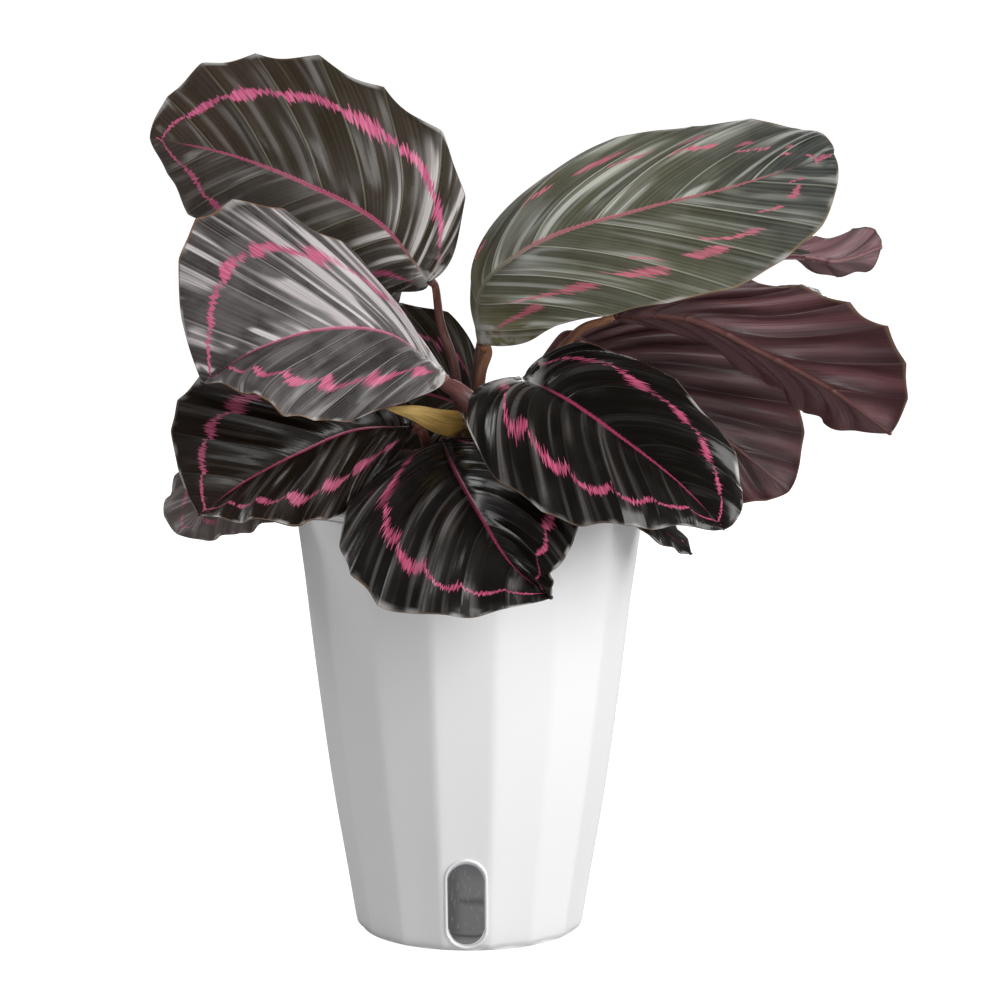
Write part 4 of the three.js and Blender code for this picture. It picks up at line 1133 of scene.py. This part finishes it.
def blade_surface(leaf, index, vein, side, outwards):
    """The blade's middle surface with pleats and waves, its normals, and each point's share of the
    length and of the half width. vein, side and outwards place the points along the side veins."""
    start = vein ** leaf["fan"]
    end = 1 - (1 - vein) ** VEIN_END_POWER
    bend = 2 * outwards * (1 - outwards)
    turn_out = start + leaf["sweep"] * (end - start)
    along = (1 - outwards) ** 2 * start + bend * turn_out + outwards**2 * end
    across = (bend * STEEPNESS + outwards**2) * outline_share(end)
    turns = leaf["veins"] * vein
    notch = 1 + leaf["scallop"] * (0.5 - abs(np.sin(np.pi * turns))) * outwards**6
    reach = across * notch
    midrib = np.array(leaf["midrib"], float)
    forward = rib_direction(midrib, np.clip(along, 0.001, 0.999))
    left, right = (reach_at(leaf[half], along) for half in ("left", "right"))
    is_left = (side < 0)[..., None]
    out = np.where(is_left, left, right)
    normal = unit(np.cross(out, forward) * side[..., None])
    other = unit(np.cross(np.where(is_left, right, left), forward) * -side[..., None])
    outline = np.maximum(outline_share(along), 1e-3)
    share = np.minimum(1, reach / outline)
    arch = np.where(side < 0, *leaf["cup"]) * 4 * share * (1 - share) * outline
    places = smooth_curve(midrib, along) + out * reach[..., None] + normal * arch[..., None]
    near_rib = 0.5 * (1 - smoothstep(share, 0, 0.35))[..., None]
    normal = unit(normal * (1 - near_rib) + other * near_rib)
    taper = np.minimum(1, np.minimum(6 * vein, 6 * (1 - vein)))
    crest = 0.45 * np.cos(2 * np.pi * turns) + 0.55 * (1 - 2 * abs(np.sin(np.pi * turns)))
    lively = 1 + 0.3 * np.sin(2.3 * turns + 1.7 * index + side)
    pleat = leaf["pleat"] * crest * lively * np.sin(np.pi * outwards * 0.85)
    drift = 1.3 * np.sin(1.9 * turns + index) + 2.1 * outwards
    minor = 0.24 * np.cos(4 * np.pi * turns + drift) + 0.1 * np.cos(8 * np.pi * turns - 2 * drift)
    minor = minor * np.sin(np.pi * np.minimum(1, outwards * 1.15))
    minor = minor * (0.6 + 0.4 * np.sin(7 * outwards + 3 * turns))
    phase = np.where(side < 0, scatter(index, 1), scatter(index, 3)) * 2 * np.pi
    ruffle = leaf["wave"] * np.sin(np.pi * turns + phase) * outwards**3
    frill = 0.5 * np.sin(2 * np.pi * turns + phase) * outwards**5
    groove = -0.45 * np.exp(-((share / 0.035) ** 2)) * (1 - along)
    lift = (pleat + minor + ruffle + frill) * taper + groove
    return places + normal * lift[..., None], normal, along, share


def blade(name, leaf, index):
    """A grid laid over the blade along its side veins, then given its thickness and keel."""
    bm = bmesh.new()
    bmesh.ops.create_grid(bm, x_segments=BLADE_ROWS, y_segments=BLADE_COLUMNS, size=0.5)
    flat = np.array([vert.co for vert in bm.verts])
    rows = np.clip(flat[:, 0] + 0.5, 0, 1)
    vein = np.clip(rows - ROW_CROWDING * np.sin(2 * np.pi * rows) / (2 * np.pi), 0, 1)
    signed = -2 * flat[:, 1]
    side = np.where(signed < 0, -1.0, 1.0)
    outwards = np.clip(abs(signed), 0, 1) ** COLUMN_CROWDING
    places, normal, along, share = blade_surface(leaf, index, vein, side, outwards)
    places = (places + normal * BLADE_THICKNESS / 2) * MM
    keel = RIB_THICKNESS * (1 - along) * np.minimum(1, 0.2 + 12 * vein)
    keel *= np.clip(1 - (outwards / RIB_WIDTH_SHARE) ** 2, 0, 1)
    on_vein = np.exp(-((np.sin(np.pi * leaf["veins"] * vein) / VEIN_WIDTH_SHARE) ** 2))
    raised = VEIN_THICKNESS * on_vein * (1 - outwards)
    thickness = (BLADE_THICKNESS + keel + raised) / MOST_THICKNESS
    vein_map = bm.loops.layers.uv.new("veins")
    plan_map = bm.loops.layers.uv.new("plan")
    for face in bm.faces:
        face.smooth = True
        for loop in face.loops:
            k = loop.vert.index
            loop[vein_map].uv = (vein[k], 0.5 + 0.5 * side[k] * outwards[k])
            loop[plan_map].uv = (along[k], 0.5 + 0.5 * side[k] * share[k])
    weights = bm.verts.layers.deform.verify()
    for vert, place, weight in zip(bm.verts, places, thickness):
        vert.co = place
        vert[weights][0] = weight
    bmesh.ops.remove_doubles(bm, verts=bm.verts, dist=1e-7)
    for edge in bm.edges:
        edge.smooth = not edge.is_boundary
    made = new_piece(name + "_leaf", bm, *blade_materials(name, leaf, index))
    made.vertex_groups.new(name="thickness")
    shell = made.modifiers.new("thickness", "SOLIDIFY")
    shell.thickness = MOST_THICKNESS * MM
    shell.offset = -1
    shell.vertex_group = "thickness"
    shell.material_offset = 1
    shell.material_offset_rim = 2
    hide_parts(f"leaf_{name}_blade")
    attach(made, "root")
    return made


for index, (name, leaf) in enumerate(LEAVES.items()):
    slot = "green_leaf" if leaf["finish"] == "green" else "dark_leaf"
    blade(name, leaf, index)
    "purple_leaf" if "lower" in leaf else slot

# The stalks: round and fibrous, dark and sheathed where they stand in the soil, red-brown above,
# with a short swollen joint where each meets its blade from below.
ROOT_DEPTH = 20
STALK_RISE = 0.5
STALK_SWING = 0.3
STALK_DROP = 0.35
STALK_BACK = 0.6
STALK_COLOURS = {
    "red": ((0.05, 0.018, 0.012, 1), (0.16, 0.045, 0.035, 1), (0.2, 0.07, 0.05, 1)),
    "orange": ((0.06, 0.022, 0.01, 1), (0.2, 0.075, 0.03, 1), (0.3, 0.13, 0.06, 1)),
    "pink": ((0.06, 0.022, 0.018, 1), (0.19, 0.07, 0.065, 1), (0.25, 0.11, 0.1, 1)),
}
STALK_TINTS = {"upper_right": "orange", "right_underside": "orange", "middle_left": "pink"}
JOINT_PLACE = 0.93
JOINT_LENGTH = 0.035
JOINT_SWELLING = 0.22
STALK_RINGS = 72
STALK_SIDES = 20

fibrous, given, result = new_group(
    "fibrous_skin", [("Low", "Color"), ("Middle", "Color"), ("High", "Color"), ("Seed", "Float")],
)
along, turned, _ = uv_place(fibrous, "length_and_turn")
turned = turned * (2 * math.pi) + given["Seed"]
around = vector_of(maths("COSINE", turned), maths("SINE", turned), along * 1.2)
fibres = mottle(around, 7, 4)
blotches = mottle(object_place(fibrous), 120, 3)
colour = mix_colours(ramp(along, 0.25, 0.6), given["Low"], given["Middle"])
colour = mix_colours(ramp(along, 0.55, 1), colour, given["High"])
colour = mix_colours(ramp(fibres, 0.4, 0.7, 0, 0.6), colour, given["Low"])
colour = mix_colours(ramp(blotches, 0.55, 0.75, 0, 0.5), colour, given["High"])
connect(result["Color"], colour)
connect(result["Roughness"], ramp(fibres, 0.3, 0.7, 0.32, 0.48))
connect(result["Height"], fibres * (0.5 * MM))


def bezier(points, u):
    """Points at shares u of the way along a curve between the first and the last point."""
    p0, p1, p2, p3 = points
    w = u[..., None]
    return (1 - w) ** 3 * p0 + 3 * (1 - w) ** 2 * w * p1 + 3 * (1 - w) * w**2 * p2 + w**3 * p3


def stalk_points(leaf, steps):
    """The stalk's line, from its foot in the soil to the blade's base, in millimetres."""
    midrib = np.array(leaf["midrib"], float)
    base = midrib[0]
    near = np.array([0.05])
    aim = rib_direction(midrib, np.array([0.0]))[0]
    forward = rib_direction(midrib, near)
    face = unit(np.cross(reach_at(leaf["right"], near), forward))
    face = unit(face + unit(np.cross(forward, reach_at(leaf["left"], near))))[0]
    x, y = leaf["root"]
    low = SOIL_Z / MM - ROOT_DEPTH
    foot = np.array([x, y, low])
    tall = np.linalg.norm(base - foot)
    end = base - aim * STALK_BACK - face * (STALK_DROP + 0.6 * leaf["stalk"][2])
    u = np.linspace(0, 1, steps)
    if "way" in leaf:
        neck = end - aim * 4 - face * 2.5
        way = np.vstack([foot, (x, y, SOIL_Z / MM + 6), *leaf["way"], neck, end])
        return smooth_curve(way.astype(float), u)
    rise = foot + (0, 0, tall * STALK_RISE)
    swing = end - aim * tall * STALK_SWING - face * tall * 0.1
    swing[2] = max(swing[2], foot[2] + tall * 0.3)
    return bezier((foot, rise, swing, end), u)


def bar_frames(points):
    """From a line in millimetres, what a tube asks for: its middle in metres and the two directions
    across it, at a share u of the way along."""
    forward = unit(np.gradient(points, axis=0))
    across = unit(np.cross(np.array([0.0, 1, 0]), forward))
    back = np.cross(across, forward)
    last = len(points) - 1

    def at(u):
        i = round(u * last)
        return points[i] * MM, across[i], back[i]

    return at


def stalk_radii(thick, u, turn):
    """A stalk's radius: it tapers, is a little grooved and swells at the joint below the blade."""
    swelling = JOINT_SWELLING * math.exp(-(((u - JOINT_PLACE) / JOINT_LENGTH) ** 2))
    groove = 0.05 * math.cos(3 * turn) * math.sin(math.pi * u)
    return (np.interp(u, (0, 0.5, 1), thick) * (0.97 + swelling + groove),) * 2


for index, (name, leaf) in enumerate(LEAVES.items()):
    line = bar_frames(stalk_points(leaf, STALK_RINGS + 1))
    bm = tube(STALK_RINGS, STALK_SIDES, line, partial(stalk_radii, np.array(leaf["stalk"]) * MM))
    stalk_material, shader = new_material(name + "_stalk", IOR=1.45, Coat_Weight=0.15)
    low, middle, high = STALK_COLOURS[STALK_TINTS.get(name, "red")]
    finish_surface(shader, fibrous, Low=low, Middle=middle, High=high, Seed=index)
    stalk = new_piece(name + "_stem", bm, stalk_material)
    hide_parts(f"leaf_{name}_stalk")
    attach(stalk, "root")

# The dry bract: the papery olive-gold sheath of an old leaf. It stands in the soil beside the
# stalks, bends over to the left and ends in a point.
BRACT_PATH = [
    (-5, -5, 152), (-4, -7, 190), (-2, -8, 208), (0, -11, 219), (-4, -21, 222), (-13, -32, 225),
    (-23, -37, 229), (-34, -39, 231),
]
# The radius at its foot, at its neck, where it is widest and at its tip, and how far along the
# neck and the widest place are.
BRACT_RADII = (2.4, 1.8, 5.2, 0.5)
BRACT_NECK = 0.5
BRACT_WIDEST = 0.62
BRACT_FLATNESS = 0.4
BRACT_RINGS = 96
BRACT_SIDES = 40
BRACT_COLOURS = ((0.14, 0.07, 0.018, 1), (0.46, 0.27, 0.06, 1), (0.62, 0.42, 0.14, 1))


def bract_radii(u, turn):
    low, middle, wide, tip = BRACT_RADII
    if u < BRACT_NECK:
        radius = low + (middle - low) * u / BRACT_NECK
    elif u < BRACT_WIDEST:
        radius = middle + (wide - middle) * smoothstep(u, BRACT_NECK, BRACT_WIDEST)
    else:
        radius = wide + (tip - wide) * ((u - BRACT_WIDEST) / (1 - BRACT_WIDEST)) ** 1.6
    fold = 1 + 0.12 * math.cos(2 * turn + 1) + 0.04 * math.cos(9 * turn)
    return radius * fold * MM, radius * BRACT_FLATNESS * fold * MM


bract_line = smooth_curve(np.array(BRACT_PATH, float), np.linspace(0, 1, BRACT_RINGS + 1))
bm = tube(BRACT_RINGS, BRACT_SIDES, bar_frames(bract_line), bract_radii)
bract_material, shader = new_material("dry_bract_skin", IOR=1.4)
low, middle, high = BRACT_COLOURS
finish_surface(shader, fibrous, Low=low, Middle=middle, High=high, Seed=31)
bract = new_piece("old_leaf_bract", bm, bract_material)
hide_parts("dry_bract")
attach(bract, "root")
